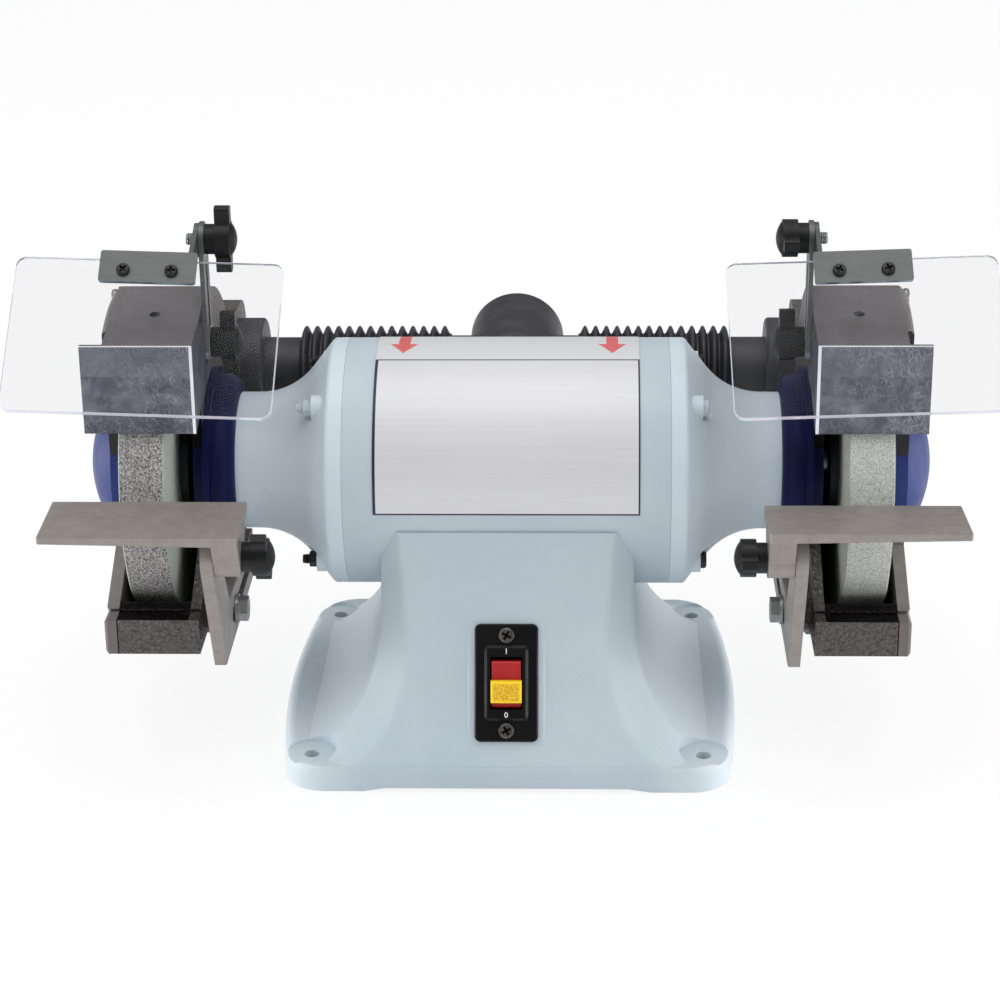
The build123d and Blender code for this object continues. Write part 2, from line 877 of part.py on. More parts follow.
def make_hub_plate():
    """The dished hub between an end bell and a guard, with a rounded shoulder."""
    shoulder = bell_end + hub_shoulder
    inner_radius = hub_radius - hub_shoulder
    flange_start = guard_inner - hub_flange
    bend = hub_shoulder * (1 - sin(radians(45)))
    outline = [
        Line((bell_end, hub_bore), (bell_end, inner_radius)),
        ThreePointArc(
            (bell_end, inner_radius), (bell_end + bend, hub_radius - bend), (shoulder, hub_radius)
        ),
        Polyline(
            (shoulder, hub_radius),
            (flange_start, hub_radius),
            (flange_start, hub_flange_radius),
            (guard_inner, hub_flange_radius),
            (guard_inner, hub_spigot_radius),
            (guard_web, hub_spigot_radius),
            (guard_web, hub_dish_radius),
            (bell_end + hub_web, hub_dish_radius - hub_dish_taper),
            (bell_end + hub_web, hub_bore),
            (bell_end, hub_bore),
        ),
    ]
    hub = turned(*outline)
    for y, z in hub_screw_places():
        hub -= bar(hub_screw_radius + bolt_gap, bell_end - overcut, bell_end + hub_web + overcut, y, z)
    return hub


def make_hub_dome():
    """The round cap over the wheel nut, held by a lip behind the side cover."""
    centre = cover_outer + dome_height - cap_sphere
    inner_sphere = cap_sphere - dome_wall
    inner_radius = dome_radius - dome_wall
    inner_base = centre + sqrt(inner_sphere ** 2 - inner_radius ** 2)
    back = cover_inner - dome_lip_thickness
    half_out = asin(dome_radius / cap_sphere) / 2
    half_in = asin(inner_radius / inner_sphere) / 2
    outline = [
        Polyline(
            (back, inner_radius),
            (back, dome_radius + dome_lip),
            (cover_inner, dome_radius + dome_lip),
            (cover_inner, dome_radius),
            (cover_outer, dome_radius),
        ),
        ThreePointArc(
            (cover_outer, dome_radius),
            (centre + cap_sphere * cos(half_out), cap_sphere * sin(half_out)),
            (centre + cap_sphere, 0),
        ),
        Line((centre + cap_sphere, 0), (centre + inner_sphere, 0)),
        ThreePointArc(
            (centre + inner_sphere, 0),
            (centre + inner_sphere * cos(half_in), inner_sphere * sin(half_in)),
            (inner_base, inner_radius),
        ),
        Line((inner_base, inner_radius), (back, inner_radius)),
    ]
    return turned(*outline)


def pan_screw(radius, head_radius, head_height, seat, depth, y, z):
    """A pan-head screw along X with its head outward of the seat."""
    head = bar(head_radius, seat, seat + head_height, y, z)
    head = fillet(head.edges().filter_by(GeomType.CIRCLE).sort_by(Axis.X)[-1], head_height * 0.5)
    return head + bar(radius, seat - depth, seat, y, z)


def make_guard_screws():
    screws = []
    for y, z in hub_screw_places():
        depth = hub_web + hub_screw_depth - overcut
        screws.append(
            pan_screw(
                hub_screw_radius, pan_head_radius, pan_head_height, bell_end + hub_web, depth, y, z
            )
        )
    return screws + [mirrored(screw) for screw in screws]


def make_cover_screws():
    screws = []
    for y, z in cover_screw_places():
        depth = cover_thickness + cover_screw_depth - overcut
        screws.append(
            pan_screw(cover_screw_radius, pan_head_radius, pan_head_height, cover_outer, depth, y, z)
        )
    return screws + [mirrored(screw) for screw in screws]


# Dust pipes


def make_dust_collar():
    """The socket on a guard: wide at the guard, closing to the hose's cuff."""
    start = guard_inner - collar_length
    barrel = tube(collar_radius, collar_radius - collar_wall, start, guard_inner, duct_y, duct_z)
    web = tube(collar_radius, cuff_radius + fit_gap, start, start + collar_wall, duct_y, duct_z)
    collar = barrel + web
    rim = collar.edges().filter_by(GeomType.CIRCLE).group_by(SortBy.RADIUS)[-1].sort_by(Axis.X)[0]
    return fillet(rim, collar_round)


def make_dust_hose():
    """A ribbed hose with smooth cuffs, from the tee to a guard's collar."""
    collar_face = guard_inner - collar_length
    ribs_end = collar_face - hose_cuff
    pitch = (ribs_end - tee_half) / hose_ribs
    centre = Pos(0, duct_y, duct_z)

    def ring(x, radius):
        return centre * (Plane.YZ.offset(x) * Circle(radius))

    rings = []
    for i in range(hose_ribs):
        start = tee_half + i * pitch
        rings += [
            ring(start, hose_groove),
            ring(start + 0.22 * pitch, hose_ridge),
            ring(start + 0.60 * pitch, hose_ridge),
            ring(start + 0.82 * pitch, hose_groove),
        ]
    rings.append(ring(ribs_end, hose_groove))
    hose = loft(rings, ruled=True)
    hose += bar(cuff_radius, ribs_end, collar_face + collar_wall, duct_y, duct_z)
    return hose - bar(duct_bore, tee_half - overcut, collar_face + collar_wall + overcut, duct_y, duct_z)


def backward_bar(radius, y0, y1):
    return Pos(0, (y0 + y1) / 2, duct_z) * Rot(90, 0, 0) * Cylinder(radius, y1 - y0)


def make_dust_manifold():
    """The tee behind the motor: a cross run between the hoses into a wide barrel with a hose spigot behind."""

    def pipes(inset, overrun):
        run = bar(tee_radius - inset, -tee_half - overrun, tee_half + overrun, duct_y, duct_z)
        barrel = backward_bar(outlet_radius - inset, outlet_front + inset, outlet_shoulder - inset)
        front = barrel.edges().filter_by(GeomType.CIRCLE).sort_by(Axis.Y)[0]
        spigot = backward_bar(spigot_radius - inset, duct_y, outlet_back + overrun)
        return run + fillet(front, tee_round - inset / 2) + spigot

    return pipes(0, 0) - pipes(tee_wall, overcut)


# Hand knobs


def make_knob(seat, stud_end, y, z, turn):
    """A two-winged hand knob whose hub bears at seat and whose stud runs out along +X."""
    hub_end = seat - knob_hub_length
    body_end = hub_end - knob_body_length
    knob = bar(knob_hub_radius, hub_end, seat) + bar(knob_body_radius, body_end, hub_end)
    wing = Pos((hub_end + body_end) / 2, 0, 0) * Box(
        knob_body_length, knob_wing_width, 2 * knob_wing_reach
    )
    wing = fillet(wing.edges().filter_by(Axis.X), knob_wing_width * 0.3)
    knob += wing
    dome = (knob_cap_radius ** 2 + knob_cap_height ** 2) / (2 * knob_cap_height)
    cap = Pos(body_end + dome - knob_cap_height, 0, 0) * Sphere(dome)
    knob += cap & bar(knob_cap_radius, body_end - knob_cap_height - overcut, body_end)
    knob += bar(stud_radius, seat, stud_end)
    return Pos(0, y, z) * Rot(turn, 0, 0) * knob


# Eye shield and spark guard


def strip_outline(y0, z0, y1, z1, radius):
    """A round-ended flat strip from one centre to another."""
    lean = degrees(atan2(z1 - z0, y1 - y0))
    middle = Pos((y0 + y1) / 2, (z0 + z1) / 2) * Rot(0, 0, lean)
    return middle * SlotCenterToCenter(hypot(y1 - y0, z1 - z0), 2 * radius)


def make_shield_arm():
    arm = strip_outline(clamp_y, clamp_z, pivot_y, pivot_z, arm_width / 2)
    share = arm_slot / hypot(pivot_y - clamp_y, pivot_z - clamp_z)
    slot_y = clamp_y + (pivot_y - clamp_y) * share
    slot_z = clamp_z + (pivot_z - clamp_z) * share
    arm -= strip_outline(clamp_y, clamp_z, slot_y, slot_z, stud_radius + bolt_gap)
    arm -= Pos(pivot_y, pivot_z) * Circle(stud_radius + bolt_gap)
    return slab(arm, arm_plate, arm_plate + sheet)


def shield_plane():
    """The face of the shield at the middle of its top edge: local Y runs down the shield."""
    lean = radians(shield_tilt)
    roll = radians(shield_roll)
    out = Vector(0, -cos(lean), sin(lean))
    inward = Vector(-cos(roll), -sin(roll) * sin(lean), -sin(roll) * cos(lean))
    middle = shield_inner + shield_width / 2
    return Plane(origin=(middle, shield_top_y, shield_top_z), x_dir=inward, z_dir=out)


def on_shield(shape):
    return shield_plane().location * shape


def strap_middle():
    """The strap's middle in the shield's own frame, with its inner end a little past the ear."""
    return (shield_inner + shield_width / 2) - (spark_plate - strap_overhang + strap_length / 2)


def shield_screw_places():
    down = strap_overlap - shield_screw_inset
    return [(strap_middle() + side * shield_screw_pitch / 2, down) for side in (-1, 1)]


def make_shield():
    pane = Pos(0, shield_length / 2, -shield_thickness) * extrude(
        RectangleRounded(shield_width, shield_length, shield_corner), shield_thickness
    )
    pane = chamfer(pane.faces().sort_by(Axis.Z)[-1].edges(), shield_edge)
    for x, y in shield_screw_places():
        pane -= Pos(x, y, 0) * Cylinder(shield_screw_radius + bolt_gap, 4 * shield_thickness)
    return on_shield(pane)


def make_shield_bracket():
    """A bent bracket: a strap over the shield's top and an ear to the pivot."""
    top = strap_overlap - strap_width
    strap = Pos(strap_middle(), top + strap_width / 2, sheet / 2) * Box(strap_length, strap_width, sheet)
    strap = fillet(strap.edges().filter_by(Axis.Z), strap_corner)
    for x, y in shield_screw_places():
        strap -= Pos(x, y, 0) * Cylinder(shield_screw_radius + bolt_gap, 4 * shield_thickness)
    strap = on_shield(strap)
    plane = shield_plane()
    ear_x = shield_inner + shield_width / 2 - (spark_plate + sheet / 2)
    high = plane.from_local_coords(Vector(ear_x, top, sheet))
    low = plane.from_local_coords(Vector(ear_x, 0, sheet))
    low_back = plane.from_local_coords(Vector(ear_x, -plate_gap, -shield_thickness))
    ear = make_face(
        Polyline(
            (high.Y, high.Z),
            (low.Y, low.Z),
            (low_back.Y, low_back.Z),
            (pivot_y, pivot_z - ear_radius),
            (pivot_y, pivot_z + ear_radius),
            close=True,
        )
    )
    ear += Pos(pivot_y, pivot_z) * Circle(ear_radius)
    ear -= Pos(pivot_y, pivot_z) * Circle(stud_radius + bolt_gap)
    return strap + slab(ear, spark_plate, spark_plate + sheet)


def make_shield_screws():
    screws = []
    for x, y in shield_screw_places():
        shank_length = sheet + shield_thickness + shield_screw_spare
        shank = Pos(x, y, sheet - shank_length / 2) * Cylinder(shield_screw_radius, shank_length)
        head = Pos(x, y, sheet + shield_head_height / 2) * Cylinder(shield_head_radius, shield_head_height)
        head = fillet(head.edges().filter_by(GeomType.CIRCLE).sort_by(Axis.Z)[-1], shield_head_round)
        screws.append(on_shield(shank + head))
    return screws


def make_spark_guard():
    """A bent sheet: front plate, sloped top plate and a slotted flange on the guard's inner wall."""
    rise = tan(radians(spark_slope)) * (spark_back - spark_front)
    front_face = spark_front - sheet
    front = Pos((spark_plate + spark_outer) / 2, spark_front - sheet / 2, (spark_bottom + spark_top) / 2)
    front *= Box(spark_outer - spark_plate, sheet, spark_top - spark_bottom)
    top_outline = make_face(
        Polyline(
            (front_face, spark_top - sheet),
            (front_face, spark_top),
            (spark_back, spark_top + rise),
            (spark_back, spark_top + rise - sheet),
            (spark_front, spark_top - sheet),
            close=True,
        )
    )
    top = slab(top_outline, spark_plate, cover_inner)
    hole = Pos((spark_plate + cover_inner) / 2, (spark_front + spark_back) / 2, spark_top)
    top -= hole * Cylinder(spark_hole_radius, 4 * rise)
    flange = make_face(
        Polyline(
            (spark_front, spark_bottom),
            (spark_front, spark_top - sheet),
            (spark_flange_back, spark_top - sheet),
            (spark_flange_back, spark_flange_bottom),
            (spark_flange_back - spark_flange_step, spark_flange_bottom),
            close=True,
        )
    )
    corner = flange.vertices().sort_by_distance((spark_flange_back, spark_flange_bottom))[0]
    flange = fillet(corner, spark_flange_corner)
    slot_low = clamp_z - spark_slot_travel
    slot_high = clamp_z + spark_slot_spare
    flange -= strip_outline(clamp_y, slot_low, clamp_y, slot_high, stud_radius + bolt_gap)
    return front + top + slab(flange, spark_plate, spark_plate + sheet)


# Tool rests


def make_tool_rest(tilt):
    """A tapered table with a lug that hangs from its inner end, set at an angle on its pivot."""
    front = rest_back - rest_depth
    table_end = make_face(
        Polyline(
            (rest_inner, rest_top),
            (rest_outer, rest_top),
            (rest_outer, rest_top - rest_thin),
            (rest_inner, rest_top - rest_thick),
            close=True,
        )
    )
    table = extrude(Plane.XZ.offset(-rest_back) * table_end, rest_depth)
    table = chamfer(table.edges().filter_by(Axis.Z), edge_break)
    lug = make_face(
        Polyline(
            (front + lug_setback, rest_top - rest_thick),
            (rest_pivot_y - lug_radius, rest_pivot_z),
            (rest_pivot_y + lug_radius, rest_pivot_z),
            (rest_back - lug_setback, rest_top - rest_thick),
            close=True,
        )
    )
    lug += Pos(rest_pivot_y, rest_pivot_z) * Circle(lug_radius)
    lug += Pos((front + rest_back) / 2, rest_top - rest_thick / 2) * Rectangle(
        rest_depth - 2 * lug_setback, rest_thick
    )
    rest = table + slab(lug, lug_inner, lug_outer)
    pivot = Pos(0, rest_pivot_y, rest_pivot_z)
    rest -= pivot * bar(stud_radius + bolt_gap, lug_inner - overcut, lug_outer + overcut)
    return pivot * Rot(tilt, 0, 0) * pivot.inverse() * rest


def make_rest_support():
    """A cast bracket: a leaning upright to the rest's pivot and a slotted leg bolted to the guard."""
    lean = atan2(rest_pivot_z - support_bottom, support_foot_y - rest_pivot_y)
    along = Vector(-cos(lean), sin(lean))
    across = Vector(sin(lean), cos(lean))
    pivot = Vector(rest_pivot_y, rest_pivot_z)
    front_high = pivot - across * support_head_radius
    back_high = pivot + across * support_head_radius
    reach = (support_top - support_bottom) / sin(lean)
    foot = Vector(support_foot_y - support_toe, support_bottom)
    knee = Vector(foot.X, support_bottom) + across * support_upright + along * reach
    outline = make_face(
        Polyline(
            (front_high.X, front_high.Y),
            (foot.X, foot.Y),
            (support_back, support_bottom),
            (support_back, support_top),
            (knee.X + support_knee_web, support_top),
            (back_high.X, back_high.Y),
            close=True,
        )
    )
    outline += Pos(rest_pivot_y, rest_pivot_z) * Circle(support_head_radius)
    slot_front = support_bolt_y - support_slot_front
    outline -= strip_outline(
        slot_front + support_slot / 2, support_z, support_back - support_slot, support_z, support_slot / 2
    )
    outline -= Pos(rest_pivot_y, rest_pivot_z) * Circle(stud_radius + bolt_gap)
    bracket = slab(outline, support_inner, support_outer)
    return chamfer(bracket.faces().sort_by(Axis.X)[0].outer_wire().edges(), support_edge)


def make_support_bolts():
    """The hex bolt and washer that clamp a rest support to its guard."""
    seat = support_inner - plate_gap
    head_end = seat - support_washer - support_bolt_head
    y, z = support_bolt_y, support_z
    bolt = hexagon(support_bolt_across, head_end, head_end + support_bolt_head, y, z)
    bolt += bar(support_bolt_radius, head_end, guard_web, y, z)
    washer = bar(support_washer_radius, seat - support_washer, seat, y, z)
    return [bolt + washer, mirrored(bolt + washer)]


# Writing


def write(name, shape):
    solids = shape if isinstance(shape, list) else [shape]
    lifted = [Pos(0, 0, axis_height) * solid for solid in solids]
    export_step(lifted[0] if len(lifted) == 1 else Compound(lifted), f"parts/{name}.step")


def write_pair(name, right, left=None):
    write(f"{name}_right", right)
    source = right if left is None else left
    solids = source if isinstance(source, list) else [source]
    write(f"{name}_left", [mirrored(solid) for solid in solids])


def make_side_knobs():
    """The six knobs, each left as it was last turned: angles run from upright, right then left."""
    upper = [make_knob(knob_seat, pivot_stud_end, pivot_y, pivot_z, turn) for turn in (90.0, 0.0)]
    lower = [make_knob(knob_seat, guard_web, clamp_y, clamp_z, turn) for turn in (0.0, 8.0)]
    seat = lug_inner - plate_gap
    rests = [
        make_knob(seat, support_outer, rest_pivot_y, rest_pivot_z, turn) for turn in (80.0, 35.0)
    ]
    return upper, lower, rests


def main():
    os.makedirs("parts", exist_ok=True)
    write("shaft", make_shaft())
    write("rotor_core", make_rotor_core())
    write("wheel_flanges", make_flanges())
    write("wheel_nuts", [make_wheel_nut(), mirrored(make_wheel_nut())])
    write_pair("grinding_wheel", make_wheel())

    write("motor_shell", make_motor_shell())
    write("stator_core", make_stator_core())
    write("stator_winding", make_winding())
    write_pair("end_bell", make_end_bell())
    write_pair("bearing", make_bearing())
    write("tie_bolts", make_tie_bolts())

    write("base_casting", make_base_casting())
    write("base_cover_plate", make_base_cover_plate())
    write("capacitor", make_capacitor())
    write("cord_gland", make_cord_gland())
    write("switch_plate", make_switch_plate())
    write("switch_screws", make_switch_screws())
    write("switch_rocker", make_switch_rocker())
    write("switch_key", make_switch_key())

    write_pair("guard", make_guard())
    write_pair("side_cover", make_side_cover())
    write_pair("hub_plate", make_hub_plate())
    write_pair("hub_dome", make_hub_dome())
    write("guard_screws", make_guard_screws())
    write("cover_screws", make_cover_screws())
    write_pair("dust_collar", make_dust_collar())
    write_pair("dust_hose", make_dust_hose())
    write("dust_manifold", make_dust_manifold())

    write_pair("eye_shield", make_shield())
    write_pair("shield_bracket", make_shield_bracket())
    write_pair("shield_screws", make_shield_screws())
    write_pair("shield_arm", make_shield_arm())
    write_pair("spark_guard", make_spark_guard())
    upper, lower, rests = make_side_knobs()
    write_pair("pivot_knob", *upper)
    write_pair("clamp_knob", *lower)
    write_pair("rest_knob", *rests)

    write_pair("tool_rest", make_tool_rest(rest_tilt_right), make_tool_rest(rest_tilt_left))
    write_pair("rest_support", make_rest_support())
    write("support_bolts", make_support_bolts())


main()
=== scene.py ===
import json
import math
import bpy
from mathutils import Matrix, Vector

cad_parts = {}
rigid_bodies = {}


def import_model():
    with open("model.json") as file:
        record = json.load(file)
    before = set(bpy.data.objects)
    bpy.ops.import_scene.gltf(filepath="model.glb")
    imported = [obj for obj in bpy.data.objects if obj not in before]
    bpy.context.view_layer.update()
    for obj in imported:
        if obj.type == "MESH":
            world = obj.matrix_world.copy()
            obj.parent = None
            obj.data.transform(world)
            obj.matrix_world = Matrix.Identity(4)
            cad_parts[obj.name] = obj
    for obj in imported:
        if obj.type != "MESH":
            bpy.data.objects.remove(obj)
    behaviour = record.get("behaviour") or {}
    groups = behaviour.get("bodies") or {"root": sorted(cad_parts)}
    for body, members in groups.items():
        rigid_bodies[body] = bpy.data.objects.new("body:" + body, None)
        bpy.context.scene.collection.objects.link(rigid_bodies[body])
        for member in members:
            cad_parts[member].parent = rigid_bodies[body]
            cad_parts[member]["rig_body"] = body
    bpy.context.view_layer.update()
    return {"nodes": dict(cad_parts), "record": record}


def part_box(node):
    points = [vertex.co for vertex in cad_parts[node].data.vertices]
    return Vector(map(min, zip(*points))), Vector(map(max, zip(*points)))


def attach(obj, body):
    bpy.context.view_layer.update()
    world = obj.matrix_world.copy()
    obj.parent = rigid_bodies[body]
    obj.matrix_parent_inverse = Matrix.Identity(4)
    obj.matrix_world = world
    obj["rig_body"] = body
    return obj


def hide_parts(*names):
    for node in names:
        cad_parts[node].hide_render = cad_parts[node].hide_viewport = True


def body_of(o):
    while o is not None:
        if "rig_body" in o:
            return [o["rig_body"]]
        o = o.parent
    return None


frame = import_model()
nodes = frame["nodes"]
axisHeight = 0.157  # the spindle above the bench
print("frame loaded:", len(nodes), "nodes")


# small tools for modelling

def clearSelection():
    if bpy.context.object and bpy.context.object.mode != "OBJECT":
        bpy.ops.object.mode_set(mode="OBJECT")
    bpy.ops.object.select_all(action="DESELECT")


def takeUp(piece):
    clearSelection()
    piece.select_set(True)
    bpy.context.view_layer.objects.active = piece


def justAdded(name):
    piece = bpy.context.object
    piece.name = name
    piece.data.name = name
    return piece


def editMode(kind="VERT"):
    bpy.ops.object.mode_set(mode="EDIT")
    bpy.ops.mesh.select_mode(type=kind)


def objectMode():
    bpy.ops.object.mode_set(mode="OBJECT")


def pickFaces(piece, test):
    # selects the faces whose middle and normal pass the test, and leaves the piece in edit mode
    takeUp(piece)
    editMode("FACE")
    bpy.ops.mesh.select_all(action="DESELECT")
    objectMode()
    for face in piece.data.polygons:
        face.select = bool(test(face.center, face.normal))
    editMode("FACE")


def settle(piece):
    takeUp(piece)
    bpy.ops.object.transform_apply(location=True, rotation=True, scale=True)
    return piece


def modify(piece, kind, **settings):
    takeUp(piece)
    modifier = piece.modifiers.new(kind.lower(), kind)
    for key, value in settings.items():
        setattr(modifier, key, value)
    bpy.ops.object.modifier_apply(modifier=modifier.name)
    return piece


def recalculate(piece):
    takeUp(piece)
    editMode()
    bpy.ops.mesh.select_all(action="SELECT")
    bpy.ops.mesh.remove_doubles(threshold=0.000002)
    bpy.ops.mesh.normals_make_consistent(inside=False)
    objectMode()


def finishPiece(piece, body, material, angle=35):
    settle(piece)
    bpy.ops.object.shade_smooth_by_angle(angle=math.radians(angle))
    piece.data.materials.clear()
    piece.data.materials.append(material)
    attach(piece, body)
    return piece


# small tools for materials

def rgb(red, green, blue):
    # a colour read as 0-255 on screen, as the shader wants it
    def linear(value):
        value /= 255
        return value / 12.92 if value <= 0.04045 else ((value + 0.055) / 1.055) ** 2.4
    return (linear(red), linear(green), linear(blue), 1.0)


def startMaterial(name, **sockets):
    material = bpy.data.materials.new(name)
    material.use_nodes = True
    tree = material.node_tree
    shader = tree.nodes["Principled BSDF"]
    for key, value in sockets.items():
        shader.inputs[key.replace("_", " ")].default_value = value
    place = tree.nodes.new("ShaderNodeTexCoord").outputs["Object"]
    return material, tree, shader, place


def plug(tree, value, socket):
    if isinstance(value, bpy.types.NodeSocket):
        tree.links.new(value, socket)
    else:
        socket.default_value = value


def math2(tree, operation, first, second=0.0, third=0.0):
    node = tree.nodes.new("ShaderNodeMath")
    node.operation = operation
    for socket, value in zip(node.inputs, (first, second, third)):
        plug(tree, value, socket)
    return node.outputs[0]


def stretchBy(tree, place, scale, turn=(0, 0, 0), shift=(0, 0, 0)):
    node = tree.nodes.new("ShaderNodeMapping")
    plug(tree, place, node.inputs["Vector"])
    node.inputs["Location"].default_value = shift
    node.inputs["Rotation"].default_value = turn
    node.inputs["Scale"].default_value = scale
    return node.outputs[0]


def noise(tree, place, scale, detail=4.0, roughness=0.55):
    node = tree.nodes.new("ShaderNodeTexNoise")
    plug(tree, place, node.inputs["Vector"])
    node.inputs["Scale"].default_value = scale
    node.inputs["Detail"].default_value = detail
    node.inputs["Roughness"].default_value = roughness
    return node.outputs["Fac"]


def cells(tree, place, scale, feature="F1", flat=False):
    node = tree.nodes.new("ShaderNodeTexVoronoi")
    node.voronoi_dimensions = "2D" if flat else "3D"
    node.feature = feature
    plug(tree, place, node.inputs["Vector"])
    node.inputs["Scale"].default_value = scale
    return node.outputs["Distance"]


def ramp(tree, value, *stops):
    # stops are pairs of place and colour, or place and grey value
    node = tree.nodes.new("ShaderNodeValToRGB")
    plug(tree, value, node.inputs["Fac"])
    elements = node.color_ramp.elements
    while len(elements) < len(stops):
        elements.new(0.5)
    for element, (position, colour) in zip(elements, stops):
        element.position = position
        element.color = (colour, colour, colour, 1.0) if isinstance(colour, float) else colour
    return node.outputs["Color"]


def mixColour(tree, factor, first, second, blend="MIX"):
    node = tree.nodes.new("ShaderNodeMix")
    node.data_type = "RGBA"
    node.blend_type = blend
    plug(tree, factor, node.inputs[0])
    plug(tree, first, node.inputs[6])
    plug(tree, second, node.inputs[7])
    return node.outputs[2]


def bump(tree, shader, height, distance, strength=1.0):
    # each new bump lies over the ones before it
    node = tree.nodes.new("ShaderNodeBump")
    node.inputs["Strength"].default_value = strength
    node.inputs["Distance"].default_value = distance
    plug(tree, height, node.inputs["Height"])
    before = shader.inputs["Normal"].links
    if before:
        tree.links.new(before[0].from_socket, node.inputs["Normal"])
    tree.links.new(node.outputs[0], shader.inputs["Normal"])


def either(tree, first, second):
    return math2(tree, "MAXIMUM", first, second)


def both(tree, first, second):
    return math2(tree, "MULTIPLY", first, second)


def past(tree, value, limit):
    return math2(tree, "GREATER_THAN", value, limit)


def under(tree, value, limit):
    return math2(tree, "LESS_THAN", value, limit)


def facing(tree, place, direction):
    # how far the surface looks along a direction of the piece
    node = tree.nodes.new("ShaderNodeVectorMath")
    node.operation = "DOT_PRODUCT"
    tree.links.new(place.node.outputs["Normal"], node.inputs[0])
    node.inputs[1].default_value = direction
    return node.outputs["Value"]


def axes(tree, place):
    node = tree.nodes.new("ShaderNodeSeparateXYZ")
    plug(tree, place, node.inputs[0])
    return node.outputs[0], node.outputs[1], node.outputs[2]


# finishes

def machinePaint(name, deep, pale):
    # smooth enamel with a little orange peel
    look = dict(peel=1300, waves=150)
    material, tree, shader, place = startMaterial(
        name, Coat_Weight=0.12, Coat_Roughness=0.22, Specular_IOR_Level=0.35)
    drift = noise(tree, place, 14, 3)
    colour = ramp(tree, drift, (0.35, deep), (0.68, pale))
    specks = ramp(tree, noise(tree, place, 620, 2), (0.26, 0.96), (0.40, 1.0))
    plug(tree, mixColour(tree, 1.0, colour, specks, "MULTIPLY"), shader.inputs["Base Color"])
    plug(tree, ramp(tree, noise(tree, place, 46), (0.3, 0.34), (0.7, 0.48)), shader.inputs["Roughness"])
    bump(tree, shader, noise(tree, place, look["waves"], 3), 0.0006, 0.3)
    bump(tree, shader, noise(tree, place, look["peel"], 2), 0.00012, 0.3)
    return material


def castPaint():
    # the pedestal: the same paint over a rougher casting, with painted light making it paler towards the ends of the
    # foot
    look = dict(pale=rgb(184, 197, 205), deep=rgb(175, 189, 198), ends=rgb(228, 238, 245),
                column=0.080, foot=0.14, share=0.85)
    material, tree, shader, place = startMaterial(
        "castPaint", Coat_Weight=0.08, Coat_Roughness=0.3, Specular_IOR_Level=0.3)
    colour = ramp(tree, noise(tree, place, 11, 4), (0.35, look["deep"]), (0.68, look["pale"]))
    x, y, z = axes(tree, place)
    reach = math2(tree, "ABSOLUTE", x)
    # painted light: the paint turns paler out along the foot, to lift the shade under the guards
    paintedLightShare = ramp(tree, reach, (look["column"], 0.0), (look["foot"], look["share"]))
    colour = mixColour(tree, paintedLightShare, colour, look["ends"])
    specks = ramp(tree, noise(tree, place, 520, 3), (0.24, 0.94), (0.42, 1.0))
    plug(tree, mixColour(tree, 1.0, colour, specks, "MULTIPLY"), shader.inputs["Base Color"])
    plug(tree, ramp(tree, noise(tree, place, 40), (0.3, 0.42), (0.7, 0.58)), shader.inputs["Roughness"])
    bump(tree, shader, noise(tree, place, 70, 4), 0.0012, 0.35)
    bump(tree, shader, noise(tree, place, 700, 3), 0.0003, 0.4)
    return material


def hammeredPaint():
    # the wheel guards: small dimples, with painted shade in the mouth, on the lip's shelf and on the web's front
    # edge, and a dark seam against the side cover
    look = dict(dark=rgb(66, 61, 61), mid=rgb(86, 80, 80), light=rgb(108, 102, 101), cell=560, wander=0.003,
                web=0.1801, wall=0.0973, seam=0.2203, shelf=0.10, webEdge=0.15, shadow=rgb(12, 11, 13),
                specular=0.5, shadeSpecular=0.1, metallic=0.15)
    material, tree, shader, place = startMaterial("hammeredPaint")
    wander = noise(tree, place, 260, 2)
    spread = tree.nodes.new("ShaderNodeVectorMath")
    spread.operation = "ADD"
    plug(tree, place, spread.inputs[0])
    plug(tree, math2(tree, "MULTIPLY", wander, look["wander"]), spread.inputs[1])
    dimples = cells(tree, spread.outputs[0], look["cell"], "SMOOTH_F1")
    colour = ramp(tree, dimples, (0.05, look["light"]), (0.4, look["mid"]), (0.75, look["dark"]))
    shade = ramp(tree, noise(tree, place, 30, 3), (0.35, 0.86), (0.65, 1.0))
    colour = mixColour(tree, 1.0, colour, shade, "MULTIPLY")
    x, y, z = axes(tree, place)
    reach = math2(tree, "ABSOLUTE", x)
    rise = math2(tree, "SUBTRACT", z, axisHeight)
    radius = math2(tree, "SQRT", math2(tree, "MULTIPLY_ADD", y, y, math2(tree, "MULTIPLY", rise, rise)))
    # painted shade: near black in the mouth of the guard, on the lip's shelf and on the web's front edge; the seam
    # against the side cover is a dark joint
    inside = both(tree, past(tree, reach, look["web"]), under(tree, radius, look["wall"]))
    inside = either(tree, inside, past(tree, reach, look["seam"]))
    shelf = both(tree, under(tree, z, look["shelf"]), past(tree, facing(tree, place, (0, 0, 1)), 0.3))
    inside = either(tree, inside, both(tree, shelf, past(tree, reach, look["web"])))
    webEdge = both(tree, past(tree, z, look["webEdge"]), past(tree, facing(tree, place, (0, -1, 0)), 0.6))
    inside = either(tree, inside, both(tree, webEdge, under(tree, reach, look["web"])))
    duller = look["shadeSpecular"] - look["specular"]
    plug(tree, math2(tree, "MULTIPLY_ADD", inside, duller, look["specular"]), shader.inputs["Specular IOR Level"])
    plug(tree, math2(tree, "MULTIPLY_ADD", inside, -look["metallic"], look["metallic"]), shader.inputs["Metallic"])
    plug(tree, mixColour(tree, inside, colour, look["shadow"]), shader.inputs["Base Color"])
    plug(tree, ramp(tree, dimples, (0.1, 0.34), (0.7, 0.56)), shader.inputs["Roughness"])
    bump(tree, shader, math2(tree, "SUBTRACT", 1.0, dimples), 0.0015, 0.8)
    return material


